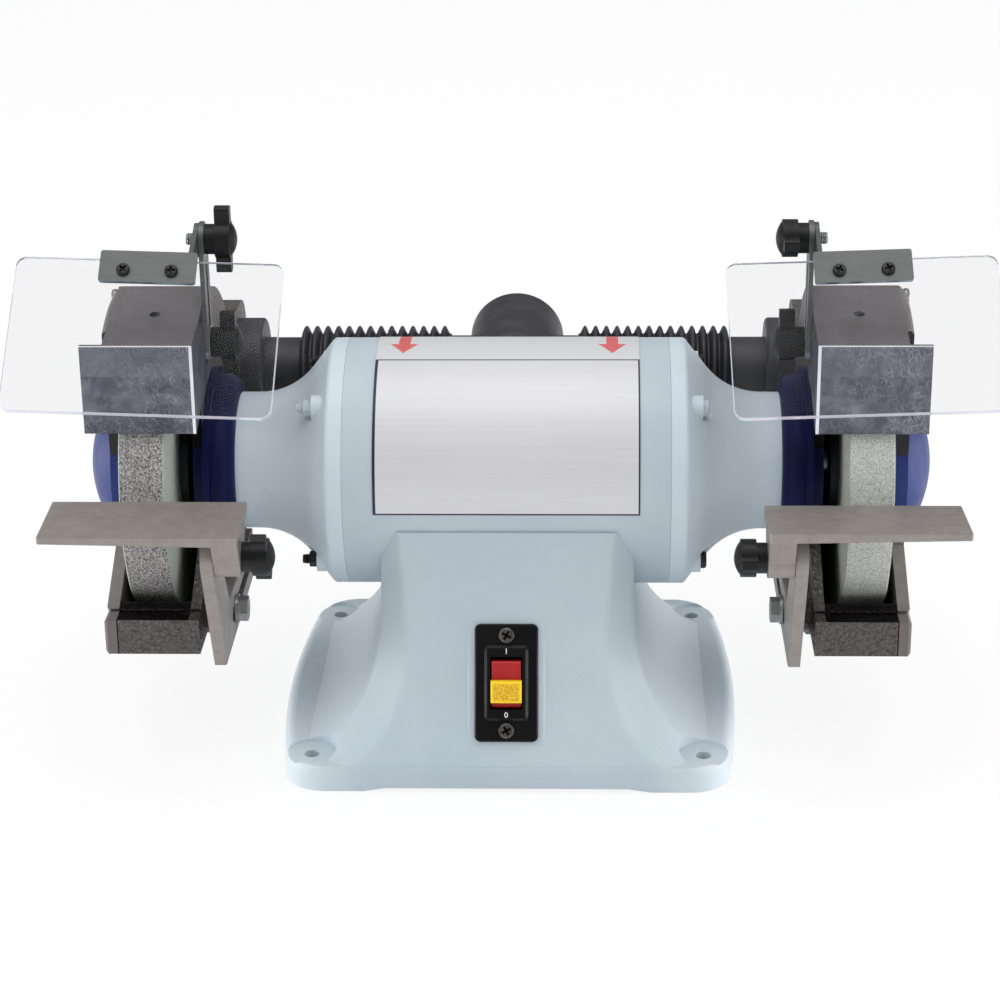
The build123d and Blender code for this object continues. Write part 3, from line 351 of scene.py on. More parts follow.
def coverPaint():
    # the side covers: darker on the front edge, and near black there beside the upper half of the wheel
    look = dict(dark=rgb(118, 113, 110), light=rgb(130, 125, 121), edge=rgb(106, 100, 97),
                nearBlack=rgb(26, 25, 29), darkAbove=0.16)
    material, tree, shader, place = startMaterial("coverPaint", Metallic=0.15)
    colour = ramp(tree, noise(tree, place, 150, 6, 0.65), (0.3, look["dark"]), (0.7, look["light"]))
    x, y, z = axes(tree, place)
    front = past(tree, facing(tree, place, (0, -1, 0)), 0.5)
    colour = mixColour(tree, front, colour, look["edge"])
    darkFrontAbove = both(tree, front, past(tree, z, look["darkAbove"]))
    plug(tree, mixColour(tree, darkFrontAbove, colour, look["nearBlack"]), shader.inputs["Base Color"])
    plug(tree, ramp(tree, noise(tree, place, 90), (0.3, 0.40), (0.7, 0.58)), shader.inputs["Roughness"])
    bump(tree, shader, cells(tree, place, 820, "SMOOTH_F1"), 0.0004, 0.35)
    return material


def hubBlue(name, deep, lit):
    # the dull blue of the hub plates and their domes
    material, tree, shader, place = startMaterial(name, Specular_IOR_Level=0.12)
    plug(tree, ramp(tree, noise(tree, place, 26), (0.3, deep), (0.7, lit)), shader.inputs["Base Color"])
    plug(tree, ramp(tree, noise(tree, place, 70), (0.3, 0.36), (0.7, 0.5)), shader.inputs["Roughness"])
    bump(tree, shader, noise(tree, place, 900, 2), 0.0001, 0.35)
    return material


def restMetal():
    # fine strokes along the table over a soft mottle, with a few bright specks that are partly nicks and partly
    # painted glints
    look = dict(dark=rgb(138, 131, 126), mid=rgb(147, 140, 135), light=rgb(156, 150, 145), nickGlint=rgb(224, 221, 215),
                strokes=0.2, mottle=0.8)
    material, tree, shader, place = startMaterial("restMetal", Metallic=0.3)
    strokes = noise(tree, stretchBy(tree, place, (180, 1500, 1500)), 1.0, 5, 0.6)
    blotch = noise(tree, place, 110, 9, 0.72)
    mixed = math2(tree, "MULTIPLY_ADD", strokes, look["strokes"], math2(tree, "MULTIPLY", blotch, look["mottle"]))
    colour = ramp(tree, mixed, (0.32, look["dark"]), (0.5, look["mid"]), (0.68, look["light"]))
    # bright specks, partly nicks and partly painted glints
    nickGlints = ramp(tree, noise(tree, place, 620, 3, 0.7), (0.70, 0.0), (0.77, 0.5))
    plug(tree, mixColour(tree, nickGlints, colour, look["nickGlint"]), shader.inputs["Base Color"])
    plug(tree, ramp(tree, mixed, (0.3, 0.54), (0.7, 0.40)), shader.inputs["Roughness"])
    bump(tree, shader, strokes, 0.00008, 0.35)
    bump(tree, shader, noise(tree, place, 420, 4), 0.0003, 0.2)
    return material


def zincSheet():
    # cloudy bluish plating, browner on top, its front scratched in use, with a painted reflection over its upper
    # front and a painted highlight line round each bend and along the top edge
    look = dict(dark=rgb(70, 72, 81), mid=rgb(90, 93, 103), light=rgb(122, 126, 137), mark=rgb(190, 193, 200),
                warm=rgb(136, 129, 130), line=rgb(240, 240, 244), front=-0.0822, bend=0.1729, paintedReflection=0.237, top=0.2544,
                streaks=0.14, clouds=0.86, warmShare=0.75, paintedReflectionShare=0.35, metallic=0.6,
                scratchTurns=(0.4, -0.5, 1.1, -1.2, 1.9), scratchScale=(48, 620, 1))
    material, tree, shader, place = startMaterial("zincSheet")
    clouds = noise(tree, place, 70, 8, 0.66)
    streaks = noise(tree, stretchBy(tree, place, (160, 700, 700)), 1.0, 5)
    mixed = math2(tree, "MULTIPLY_ADD", streaks, look["streaks"], math2(tree, "MULTIPLY", clouds, look["clouds"]))
    colour = ramp(tree, mixed, (0.34, look["dark"]), (0.5, look["mid"]), (0.68, look["light"]))
    x, y, z = axes(tree, place)
    onFront = under(tree, y, look["front"])
    onTop = past(tree, facing(tree, place, (0, 0, 1)), 0.8)
    colour = mixColour(tree, both(tree, onTop, look["warmShare"]), colour, look["warm"])
    scratched = 0.0
    for turn in look["scratchTurns"]:
        laidFlat = stretchBy(tree, place, (1, 1, 1), (math.pi / 2, 0, turn))
        lines = cells(tree, stretchBy(tree, laidFlat, look["scratchScale"]), 1.0, flat=True)
        scratched = either(tree, ramp(tree, lines, (0.05, 0.6), (0.15, 0.0)), scratched)
    specks = ramp(tree, noise(tree, place, 850, 3, 0.7), (0.58, 0.0), (0.72, 0.45))
    scratched = either(tree, scratched, specks)
    wear = both(tree, onFront, ramp(tree, noise(tree, place, 30, 3), (0.42, 0.15), (0.60, 0.9)))
    # painted highlight: a near-white line along the inner bend and the top edge of the front
    inner = under(tree, math2(tree, "ABSOLUTE", x), look["bend"])
    # painted reflection: the front is lightened above a height
    paintedReflection = both(tree, both(tree, onFront, past(tree, z, look["paintedReflection"])), look["paintedReflectionShare"])
    paintedHighlight = both(tree, onFront, either(tree, inner, past(tree, z, look["top"])))
    colour = mixColour(tree, paintedReflection, colour, look["light"])
    colour = mixColour(tree, both(tree, scratched, wear), colour, look["mark"])
    plug(tree, mixColour(tree, paintedHighlight, colour, look["line"]), shader.inputs["Base Color"])
    plug(tree, math2(tree, "MULTIPLY_ADD", paintedHighlight, -look["metallic"], look["metallic"]), shader.inputs["Metallic"])
    plug(tree, ramp(tree, clouds, (0.3, 0.50), (0.7, 0.34)), shader.inputs["Roughness"])
    bump(tree, shader, clouds, 0.0002, 0.25)
    return material


def satinZinc():
    # the smooth drab plating of the straps and arms, pale to dark bluish on the faces of the lower edge
    look = dict(dark=rgb(86, 89, 88), light=rgb(105, 108, 106), edge=rgb(176, 190, 200), edgeDark=rgb(92, 112, 134),
                downhill=(0, -0.694, -0.719), grain=0.4, clouds=0.6)
    material, tree, shader, place = startMaterial("satinZinc", Metallic=0.6)
    grain = noise(tree, stretchBy(tree, place, (60, 900, 900)), 1.0, 4)
    clouds = noise(tree, place, 60, 4)
    mixed = math2(tree, "MULTIPLY_ADD", grain, look["grain"], math2(tree, "MULTIPLY", clouds, look["clouds"]))
    colour = ramp(tree, mixed, (0.3, look["dark"]), (0.7, look["light"]))
    lowerEdgeTone = ramp(tree, noise(tree, place, 90, 2), (0.4, look["edgeDark"]), (0.6, look["edge"]))
    onEdge = past(tree, facing(tree, place, look["downhill"]), 0.8)
    plug(tree, mixColour(tree, onEdge, colour, lowerEdgeTone), shader.inputs["Base Color"])
    plug(tree, ramp(tree, clouds, (0.3, 0.36), (0.7, 0.46)), shader.inputs["Roughness"])
    bump(tree, shader, grain, 0.00005, 0.3)
    return material


def plainSteel(name, dark, light, metallic, smooth):
    # turned or blackened steel; the cross of a screw is painted near black as its shade
    look = dict(recess=rgb(5, 5, 6), spread=0.16)
    material, tree, shader, place = startMaterial(name, Metallic=metallic)
    turned = noise(tree, stretchBy(tree, place, (900, 60, 60)), 1.0, 4)
    recess = tree.nodes.new("ShaderNodeAttribute")  # 1 inside a cross, 0 everywhere else
    recess.attribute_name = "recess"
    colour = ramp(tree, turned, (0.3, dark), (0.7, light))
    # painted shade: the faces of the cross take a near-black colour
    plug(tree, mixColour(tree, recess.outputs["Fac"], colour, look["recess"]), shader.inputs["Base Color"])
    plug(tree, ramp(tree, noise(tree, place, 300), (0.3, smooth), (0.7, smooth + look["spread"])),
         shader.inputs["Roughness"])
    bump(tree, shader, turned, 0.00006, 0.4)
    return material


def mouldedPlastic(name, dark, light, roughness, texture, gloss=0.5):
    # the dust pieces, the switch and its marks
    material, tree, shader, place = startMaterial(name, Specular_IOR_Level=gloss)
    plug(tree, ramp(tree, noise(tree, place, 45), (0.3, dark), (0.7, light)), shader.inputs["Base Color"])
    plug(tree, ramp(tree, noise(tree, place, 130), (0.3, roughness[0]), (0.7, roughness[1])),
         shader.inputs["Roughness"])
    bump(tree, shader, noise(tree, place, texture, 3), 0.00018, 0.35)
    return material


def knobFinish(name, seat):
    # black plastic as far as the seat, and the zinc stud beyond it
    look = dict(studMetallic=0.7)
    material, tree, shader, place = startMaterial(name, Specular_IOR_Level=0.3)
    x, y, z = axes(tree, place)
    stud = past(tree, math2(tree, "ABSOLUTE", x), seat)
    plastic = ramp(tree, noise(tree, place, 45), (0.3, rgb(13, 13, 14)), (0.7, rgb(25, 25, 27)))
    plating = ramp(tree, noise(tree, place, 200), (0.3, rgb(150, 152, 150)), (0.7, rgb(190, 192, 190)))
    plug(tree, mixColour(tree, stud, plastic, plating), shader.inputs["Base Color"])
    plug(tree, math2(tree, "MULTIPLY", stud, look["studMetallic"]), shader.inputs["Metallic"])
    plug(tree, ramp(tree, noise(tree, place, 130), (0.3, 0.34), (0.7, 0.5)), shader.inputs["Roughness"])
    bump(tree, shader, noise(tree, place, 800, 3), 0.00018, 0.35)
    return material


def tieFinish():
    # blackened screws; the two upper ones in front are painted over with the motor
    look = dict(metallic=0.4)
    material, tree, shader, place = startMaterial("tieScrew")
    x, y, z = axes(tree, place)
    painted = both(tree, past(tree, z, axisHeight), under(tree, y, 0.0))
    black = ramp(tree, noise(tree, place, 300), (0.3, rgb(20, 20, 21)), (0.7, rgb(44, 43, 44)))
    paint = ramp(tree, noise(tree, place, 200), (0.3, rgb(172, 186, 195)), (0.7, rgb(190, 203, 211)))
    plug(tree, mixColour(tree, painted, black, paint), shader.inputs["Base Color"])
    plug(tree, math2(tree, "MULTIPLY_ADD", painted, -look["metallic"], look["metallic"]), shader.inputs["Metallic"])
    plug(tree, ramp(tree, noise(tree, place, 300), (0.3, 0.34), (0.7, 0.5)), shader.inputs["Roughness"])
    return material


def keyYellow():
    # a smooth rim round a grained panel
    look = dict(rim=rgb(246, 208, 20), panel=rgb(224, 176, 26), worn=rgb(176, 128, 34), half=0.0073,
                middle=(0, -0.1074, 0.05751), up=(0, 0.2457, 0.9693), reach=0.0049)
    material, tree, shader, place = startMaterial("keyYellow", Specular_IOR_Level=0.5, Roughness=0.4)
    x, y, z = axes(tree, place)
    tall = tree.nodes.new("ShaderNodeVectorMath")
    tall.operation = "DOT_PRODUCT"
    plug(tree, place, tall.inputs[0])
    tall.inputs[1].default_value = look["up"]
    level = Vector(look["middle"]).dot(Vector(look["up"]))
    offset = math2(tree, "ABSOLUTE", math2(tree, "SUBTRACT", tall.outputs["Value"], level))
    across = math2(tree, "ABSOLUTE", x)
    inPanel = both(tree, under(tree, across, look["half"]), under(tree, offset, look["reach"]))
    grain = noise(tree, place, 900, 4, 0.7)
    panel = ramp(tree, grain, (0.36, look["worn"]), (0.5, look["panel"]), (0.66, look["rim"]))
    plug(tree, mixColour(tree, inPanel, look["rim"], panel), shader.inputs["Base Color"])
    bump(tree, shader, both(tree, grain, inPanel), 0.0005, 0.5)
    return material


def clearSheet():
    # clear through its faces; the edges are pale and half clear, a painted highlight for the bright band along them
    look = dict(out=(0, -0.7193, 0.6947), edge=rgb(224, 223, 237), face=rgb(242, 242, 243), edgeClear=0.35)
    material, tree, shader, place = startMaterial("clearSheet", IOR=1.12, Specular_IOR_Level=0.3)
    onFace = past(tree, math2(tree, "ABSOLUTE", facing(tree, place, look["out"])), 0.9)
    plug(tree, mixColour(tree, onFace, look["edge"], look["face"]), shader.inputs["Base Color"])
    clearer = math2(tree, "MULTIPLY_ADD", onFace, 1 - look["edgeClear"], look["edgeClear"])
    plug(tree, clearer, shader.inputs["Transmission Weight"])
    scuffs = noise(tree, stretchBy(tree, place, (40, 220, 220)), 1.0, 6, 0.7)
    plug(tree, ramp(tree, scuffs, (0.55, 0.0), (0.8, 0.05)), shader.inputs["Roughness"])
    return material


def abrasive(name, side, look):
    # grit on the rim, and the smoother pale face that the makers leave on the sides
    material, tree, shader, place = startMaterial(name, Roughness=0.92, Specular_IOR_Level=0.25)
    low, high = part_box(f"grinding_wheel_{side}")
    grains = noise(tree, place, look["grit"], 3, 0.7)
    chips = cells(tree, place, look["grit"] * 0.8)
    body = ramp(tree, grains, (0.34, look["dark"]), (0.47, look["mid"]), (0.62, look["light"]))
    pits = ramp(tree, chips, (0.10, look["pit"]), (0.26, 0.0))
    body = mixColour(tree, pits, body, look["dark"])
    x, y, z = axes(tree, place)
    middle = (low.x + high.x) / 2
    half = (high.x - low.x) / 2
    off = math2(tree, "ABSOLUTE", math2(tree, "SUBTRACT", x, middle))
    onSide = past(tree, off, half - look["skin"])
    faceTone = ramp(tree, noise(tree, place, 300, 4), (0.3, look["faceDark"]), (0.7, look["face"]))
    plug(tree, mixColour(tree, onSide, body, faceTone), shader.inputs["Base Color"])
    bump(tree, shader, grains, look["depth"], 0.7)
    return material


def copperWire():
    # the winding ends inside the motor
    material, tree, shader, place = startMaterial("copperWire", Metallic=0.85, Roughness=0.38)
    turns = noise(tree, stretchBy(tree, place, (700, 90, 90)), 1.0, 3)
    plug(tree, ramp(tree, turns, (0.3, rgb(120, 66, 38)), (0.7, rgb(196, 122, 80))), shader.inputs["Base Color"])
    bump(tree, shader, turns, 0.0005, 0.6)
    return material


knobStuds = dict(shield=0.1682, rest=0.1440)  # where the plastic ends, out from the middle

finishes = {
    "machine_paint": machinePaint("machinePaint", rgb(175, 189, 198), rgb(184, 197, 205)),
    "hammertone": hammeredPaint(),
    "cover_grey": coverPaint(),
    # painted shade: the hub plates take a far darker copy of the domes' blue, for the shade between guard and bell
    "hub_blue": hubBlue("hubBlue", rgb(8, 13, 50), rgb(13, 21, 72)),
    "rest_metal": restMetal(),
    "zinc": zincSheet(),
    "zinc_screw": plainSteel("zincScrew", rgb(128, 130, 128), rgb(178, 181, 180), 0.8, 0.3),
    "black_screw": plainSteel("blackScrew", rgb(26, 26, 27), rgb(58, 57, 58), 0.6, 0.26),
    "bright_screw": plainSteel("switchScrew", rgb(76, 73, 72), rgb(126, 122, 119), 0.85, 0.28),
    "clear_shield": clearSheet(),
    "knob_black": knobFinish("knobBlack", knobStuds["shield"]),
    "dust_black": mouldedPlastic("dustBlack", rgb(38, 37, 40), rgb(56, 55, 58), (0.40, 0.58), 700),
    "switch_black": mouldedPlastic("switchBlack", rgb(6, 6, 7), rgb(13, 13, 14), (0.24, 0.36), 1400, 0.28),
    "rocker_red": mouldedPlastic("rockerRed", rgb(158, 18, 20), rgb(192, 28, 30), (0.3, 0.42), 1200),
    "key_yellow": keyYellow(),
    "coarse_stone": abrasive("coarseStone", "left", dict(
        grit=1000, dark=rgb(48, 46, 49), mid=rgb(138, 136, 136), light=rgb(198, 196, 195), pit=0.75,
        face=rgb(184, 192, 182), faceDark=rgb(164, 172, 161), depth=0.0009, skin=0.0006)),
    "fine_stone": abrasive("fineStone", "right", dict(
        grit=1250, dark=rgb(140, 143, 138), mid=rgb(182, 185, 180), light=rgb(212, 214, 208), pit=0.25,
        face=rgb(172, 176, 166), faceDark=rgb(150, 154, 145), depth=0.0006, skin=0.0006)),
    "turned_steel": plainSteel("turnedSteel", rgb(120, 120, 122), rgb(186, 187, 190), 0.95, 0.22),
    "copper_wire": copperWire(),
}
# painted light: the end bells take a paler copy of the motor paint, to lift the shade the guards leave on them
bellPaintedLightFinish = machinePaint("bellPaintedLight", rgb(192, 206, 215), rgb(201, 214, 222))
ownFinish = {
    "base_casting": castPaint(),
    "tie_bolts": tieFinish(),
    "wheel_flanges": plainSteel("flangeBlack", rgb(26, 27, 32), rgb(48, 50, 56), 0.5, 0.42),
}
strapFinish = satinZinc()
restKnobFinish = knobFinish("restKnobBlack", knobStuds["rest"])
domeFinish = hubBlue("domeBlue", rgb(42, 53, 108), rgb(51, 64, 119))
for side in ("left", "right"):
    ownFinish[f"shield_arm_{side}"] = ownFinish[f"shield_bracket_{side}"] = strapFinish
    ownFinish[f"hub_dome_{side}"] = domeFinish
    ownFinish[f"end_bell_{side}"] = bellPaintedLightFinish
    ownFinish[f"rest_knob_{side}"] = restKnobFinish
for subpart in frame["record"]["subparts"]:
    node = nodes[subpart["node"]]
    finish = ownFinish.get(subpart["node"], finishes[subpart["material_slot"]])
    for materialSlot in node.material_slots:
        materialSlot.material = finish
print("finishes on the solids done")


# the ribbed hoses behind the motor

hoseShape = dict(sides=64, ribs=14, groove=0.0222, cuff=0.0199, cuffLength=0.027, step=0.0006, tuck=0.0002,
                 wall=0.0016, profile=((0.16, 0.0), (0.17, 0.45), (0.13, 0.85), (0.10, 1.0), (0.12, 1.0),
                                       (0.10, 0.85), (0.13, 0.45), (0.09, 0.0)))


def makeHose(side):
    low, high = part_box(f"dust_hose_{side}")
    sign = 1 if side == "right" else -1
    centre = ((low.y + high.y) / 2, (low.z + high.z) / 2)
    ridge = (high.z - low.z) / 2
    length = high.x - low.x
    start = low.x if sign > 0 else high.x
    pitch = (length - hoseShape["cuffLength"]) / hoseShape["ribs"]
    clearSelection()
    bpy.ops.mesh.primitive_circle_add(
        vertices=hoseShape["sides"], radius=hoseShape["groove"],
        location=(start, *centre), rotation=(0, math.pi / 2, 0))
    hose = justAdded(f"ribbedHose_{side}")
    settle(hose)
    editMode()
    bpy.ops.mesh.select_all(action="SELECT")
    radius = hoseShape["groove"]
    x = start

    def ring(step, newRadius):
        nonlocal radius, x
        bpy.ops.mesh.extrude_region_move(TRANSFORM_OT_translate={"value": (sign * step, 0, 0)})
        x += sign * step
        share = newRadius / radius
        bpy.ops.transform.resize(value=(1, share, share), center_override=(x, *centre))
        radius = newRadius

    for rib in range(hoseShape["ribs"]):
        for share, rise in hoseShape["profile"]:
            ring(share * pitch, hoseShape["groove"] + (ridge - hoseShape["groove"]) * rise)
    ring(hoseShape["step"], hoseShape["cuff"])
    ring(hoseShape["cuffLength"] - hoseShape["step"] - hoseShape["tuck"], hoseShape["cuff"])
    objectMode()
    recalculate(hose)
    modify(hose, "SOLIDIFY", thickness=hoseShape["wall"], offset=-1.0)
    finishPiece(hose, "root", finishes["dust_black"], 50)
    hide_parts(f"dust_hose_{side}")


for side in ("left", "right"):
    makeHose(side)
print("hoses done")


# the bare silver plate round the front of the motor

plate = dict(half=0.0754, radius=0.07212, thick=0.00025, lowAngle=-4.6, highAngle=124.0, lineAngle=73.5,
             line=0.0009, wideLine=0.0016, arrowX=0.060, arrowTip=78.6, headAngle=88.5, tailAngle=112.0,
             headHalf=0.0082, stemHalf=0.0034, overlap=0.01)


def labelFinish():
    # brushed silver with a dark line round the panel and two red arrows above it
    material, tree, shader, place = startMaterial("labelSilver", Metallic=0.15, Specular_IOR_Level=0.5)
    x, y, z = axes(tree, place)
    rise = math2(tree, "SUBTRACT", z, axisHeight)
    front = math2(tree, "MULTIPLY", y, -1.0)
    along = math2(tree, "ARCTAN2", rise, front)  # radians up from the front of the motor

    def turn(degrees):
        return math.radians(degrees)

    reach = math2(tree, "ABSOLUTE", x)
    lineTurn = plate["line"] / plate["radius"]
    inPanel = under(tree, along, turn(plate["lineAngle"]))
    leftLine = under(tree, x, plate["wideLine"] - plate["half"])
    sides = either(tree, leftLine, past(tree, x, plate["half"] - plate["line"]))
    topLine = past(tree, along, turn(plate["lineAngle"]) - lineTurn)
    bottomLine = under(tree, along, turn(plate["lowAngle"]) + lineTurn)
    frameLine = both(tree, inPanel, either(tree, sides, either(tree, topLine, bottomLine)))
    fromArrow = math2(tree, "ABSOLUTE", math2(tree, "SUBTRACT", reach, plate["arrowX"]))
    headSlope = plate["headHalf"] / (turn(plate["headAngle"]) - turn(plate["arrowTip"]))
    headEdge = math2(tree, "MULTIPLY", math2(tree, "SUBTRACT", along, turn(plate["arrowTip"])), headSlope)
    head = both(tree, under(tree, fromArrow, headEdge),
                under(tree, along, turn(plate["headAngle"])))
    stem = both(tree, under(tree, fromArrow, plate["stemHalf"]),
                both(tree, past(tree, along, turn(plate["headAngle"]) - plate["overlap"]),
                     under(tree, along, turn(plate["tailAngle"]))))
    brushed = noise(tree, stretchBy(tree, place, (9, 700, 700)), 1.0, 4)
    silver = ramp(tree, brushed, (0.3, rgb(206, 206, 209)), (0.7, rgb(212, 212, 215)))
    strip = mixColour(tree, past(tree, along, turn(plate["lineAngle"])), silver, rgb(209, 210, 213))
    faded = ramp(tree, noise(tree, place, 400), (0.3, rgb(206, 92, 92)), (0.7, rgb(222, 112, 112)))
    printed = mixColour(tree, either(tree, head, stem), strip, faded)
    plug(tree, mixColour(tree, frameLine, printed, rgb(36, 34, 66)), shader.inputs["Base Color"])
    plug(tree, ramp(tree, brushed, (0.3, 0.36), (0.7, 0.5)), shader.inputs["Roughness"])
    bump(tree, shader, brushed, 0.00004, 0.15)
    return material


def makeLabel():
    clearSelection()
    bpy.ops.mesh.primitive_cylinder_add(
        vertices=240, radius=plate["radius"], depth=2 * plate["half"], end_fill_type="NOTHING",
        location=(0, 0, axisHeight), rotation=(0, math.pi / 2, 0))
    label = justAdded("labelPlate")
    settle(label)
    editMode()
    for angle, side in ((plate["lowAngle"], "clear_inner"), (plate["highAngle"], "clear_outer")):
        turn = math.radians(angle)
        bpy.ops.mesh.select_all(action="SELECT")
        bpy.ops.mesh.bisect(plane_co=(0, 0, axisHeight), plane_no=(0, math.sin(turn), math.cos(turn)), **{side: True})
    objectMode()
    recalculate(label)
    modify(label, "SOLIDIFY", thickness=plate["thick"], offset=1.0)
    finishPiece(label, "root", labelFinish(), 40)


makeLabel()
print("label plate done")


# the screws with a cross recess, on the switch and on the shields' straps

screwShape = dict(sides=48, recess=0.0016, slotWidth=0.0013, reach=0.62, rim=0.0002, otherTurn=25)
screwKinds = dict(
    switch_screws=dict(slot="bright_screw", radius=0.0045, height=0.0022, round=0.0012, shank=0.0020, length=0.0110,
                       out=(0, -0.9257, 0.3782), seats=((0, -0.10997, 0.0348, 28), (0, -0.08954, 0.08479, 62))),
    shield_screws_right=dict(slot="black_screw", radius=0.0037, height=0.0020, round=0.0010, shank=0.0020,
                             length=0.0085, out=(0, -0.7193, 0.6947),
                             seats=((0.20912, -0.06502, 0.29333, 20), (0.18254, -0.06566, 0.29266, 70))),
)
screwKinds["shield_screws_left"] = dict(screwKinds["shield_screws_right"], seats=[
    (-x, y, z, turn + screwShape["otherTurn"]) for x, y, z, turn in screwKinds["shield_screws_right"]["seats"]])


def makeScrew(name, kind):
    # one head with its shank below, seated on z = 0
    clearSelection()
    bpy.ops.mesh.primitive_cylinder_add(vertices=screwShape["sides"], radius=kind["radius"], depth=kind["height"],
                                        location=(0, 0, kind["height"] / 2))
    screw = settle(justAdded(name))
    pickFaces(screw, lambda middle, normal: normal.z > 0.9)
    bpy.ops.mesh.bevel(offset=kind["round"], segments=5, affect="EDGES")
    pickFaces(screw, lambda middle, normal: normal.z < -0.9)
    bpy.ops.mesh.inset(thickness=kind["radius"] - kind["shank"])
    bpy.ops.mesh.extrude_region_move(TRANSFORM_OT_translate={"value": (0, 0, -kind["length"])})
    objectMode()
    reach = 2 * kind["radius"] * screwShape["reach"]
    for across, along in ((reach, screwShape["slotWidth"]), (screwShape["slotWidth"], reach)):
        clearSelection()
        bpy.ops.mesh.primitive_cube_add(size=1, location=(0, 0, kind["height"]))
        cutter = justAdded(name + "Cutter")
        cutter.scale = (across, along, 2 * screwShape["recess"])
        settle(cutter)
        modify(screw, "BOOLEAN", object=cutter, operation="DIFFERENCE", solver="EXACT")
        takeUp(cutter)
        bpy.ops.object.delete()
    # the faces of the cross are marked for their painted shade
    recess = screw.data.attributes.new("recess", "FLOAT", "FACE")
    for face, mark in zip(screw.data.polygons, recess.data):
        below = kind["height"] - face.center.z
        fromAxis = math.hypot(face.center.x, face.center.y)
        mark.value = float(screwShape["rim"] < below < kind["height"] and fromAxis < reach / 2)
    return screw


def seatScrews(node, kind):
    pattern = makeScrew(node + "Cross", kind)
    copies = []
    for x, y, z, turn in kind["seats"]:
        copy = pattern.copy()
        copy.data = pattern.data.copy()
        bpy.context.scene.collection.objects.link(copy)
        spin = Matrix.Rotation(math.radians(turn), 4, "Z")
        aim = Vector(kind["out"]).to_track_quat("Z", "Y").to_matrix().to_4x4()
        copy.matrix_world = Matrix.Translation((x, y, z)) @ aim @ spin
        copies.append(settle(copy))
    takeUp(pattern)
    bpy.ops.object.delete()
    clearSelection()
    for copy in copies:
        copy.select_set(True)
    bpy.context.view_layer.objects.active = copies[0]
    bpy.ops.object.join()
    screws = justAdded(node + "Cross")
    recalculate(screws)
    finishPiece(screws, body_of(nodes[node])[0], finishes[kind["slot"]], 40)
    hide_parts(node)


for node, kind in screwKinds.items():
    seatScrews(node, kind)
print("cross screws done")


# washers under the knobs, and the threads that show on their studs and on the tie screws

washerShape = dict(sides=64, radius=0.0096, hole=0.0032, thick=0.00024, edge=0.00006)
threadShape = dict(sides=32, pitch=0.0010, depth=0.00035, lift=0.00004)
knobSeats = dict(pivot_knob=(0.16825, -0.031, 0.301), clamp_knob=(0.16825, -0.027, 0.239),
                 rest_knob=(0.14405, -0.118, 0.145))
threadEnds = dict(pivot_knob=(0.1740, 0.1784, 0.0030, -0.031, 0.301))
tieEnds = dict(start=-0.1157, end=-0.1196, radius=0.0025, back=0.03921, high=0.20373, low=0.11027)


def makeWasher(name, node, x, y, z):
    clearSelection()
    bpy.ops.mesh.primitive_cylinder_add(vertices=washerShape["sides"], radius=washerShape["radius"],
                                        depth=washerShape["thick"], location=(x, y, z), rotation=(0, math.pi / 2, 0))
    washer = settle(justAdded(name))
    pickFaces(washer, lambda middle, normal: abs(normal.x) > 0.9)
    bpy.ops.mesh.inset(thickness=washerShape["radius"] - washerShape["hole"], use_individual=True)
    bpy.ops.mesh.bridge_edge_loops()
    objectMode()
    recalculate(washer)
    modify(washer, "BEVEL", width=washerShape["edge"], segments=2, limit_method="ANGLE")
    finishPiece(washer, body_of(nodes[node])[0], finishes["zinc_screw"])


def makeThread(name, body, material, start, end, radius, y, z):
    # rings that rise and fall once in each pitch, closed by the stud's own end
    sign = 1 if end > start else -1
    root = radius + threadShape["lift"]
    crest = root + threadShape["depth"]
    clearSelection()
    bpy.ops.mesh.primitive_circle_add(vertices=threadShape["sides"], radius=root, location=(start, y, z),
                                      rotation=(0, math.pi / 2, 0))
    thread = settle(justAdded(name))
    editMode()
    bpy.ops.mesh.select_all(action="SELECT")
    x = start
    at = root
    for step in range(int(abs(end - start) / threadShape["pitch"])):
        for share, radiusNow in ((0.42, crest), (0.16, crest), (0.42, root)):
            bpy.ops.mesh.extrude_region_move(
                TRANSFORM_OT_translate={"value": (sign * share * threadShape["pitch"], 0, 0)})
            x += sign * share * threadShape["pitch"]
            bpy.ops.transform.resize(value=(1, radiusNow / at, radiusNow / at), center_override=(x, y, z))
            at = radiusNow
    objectMode()
    recalculate(thread)
    modify(thread, "SOLIDIFY", thickness=threadShape["lift"], offset=-1.0)
    finishPiece(thread, body, material, 30)


for side, sign in (("left", -1), ("right", 1)):
    for knob, (x, y, z) in knobSeats.items():
        makeWasher(f"{knob}Washer_{side}", f"{knob}_{side}", sign * x, y, z)
    for knob, (start, end, radius, y, z) in threadEnds.items():
        makeThread(f"{knob}Thread_{side}", body_of(nodes[f"{knob}_{side}"])[0],
                   finishes["zinc_screw"], sign * start, sign * end, radius, y, z)
tiePlaces = ((tieEnds["back"], tieEnds["high"]), (-tieEnds["back"], tieEnds["high"]),
             (-tieEnds["back"], tieEnds["low"]), (tieEnds["back"], tieEnds["low"]))
for number, (y, z) in enumerate(tiePlaces):
    makeThread(f"tieThread_{number}", "root", ownFinish["tie_bolts"],
               tieEnds["start"], tieEnds["end"], tieEnds["radius"], y, z)
print("washers and threads done")


# the on and off marks on the switch

switchFace = dict(origin=(0.0, -0.097902, 0.059038), lean=22.224, proud=0.00502, thick=0.00012)
switchMarks = dict(markOn=("I", 0.0180, 0.0046), markOff=("0", -0.0181, 0.0044))


def onSwitch(across, up, out):
    lean = math.radians(switchFace["lean"])
    upWay = Vector((0, math.sin(lean), math.cos(lean)))
    outWay = Vector((0, -math.cos(lean), math.sin(lean)))
    return Vector(switchFace["origin"]) + Vector((across, 0, 0)) + upWay * up + outWay * out


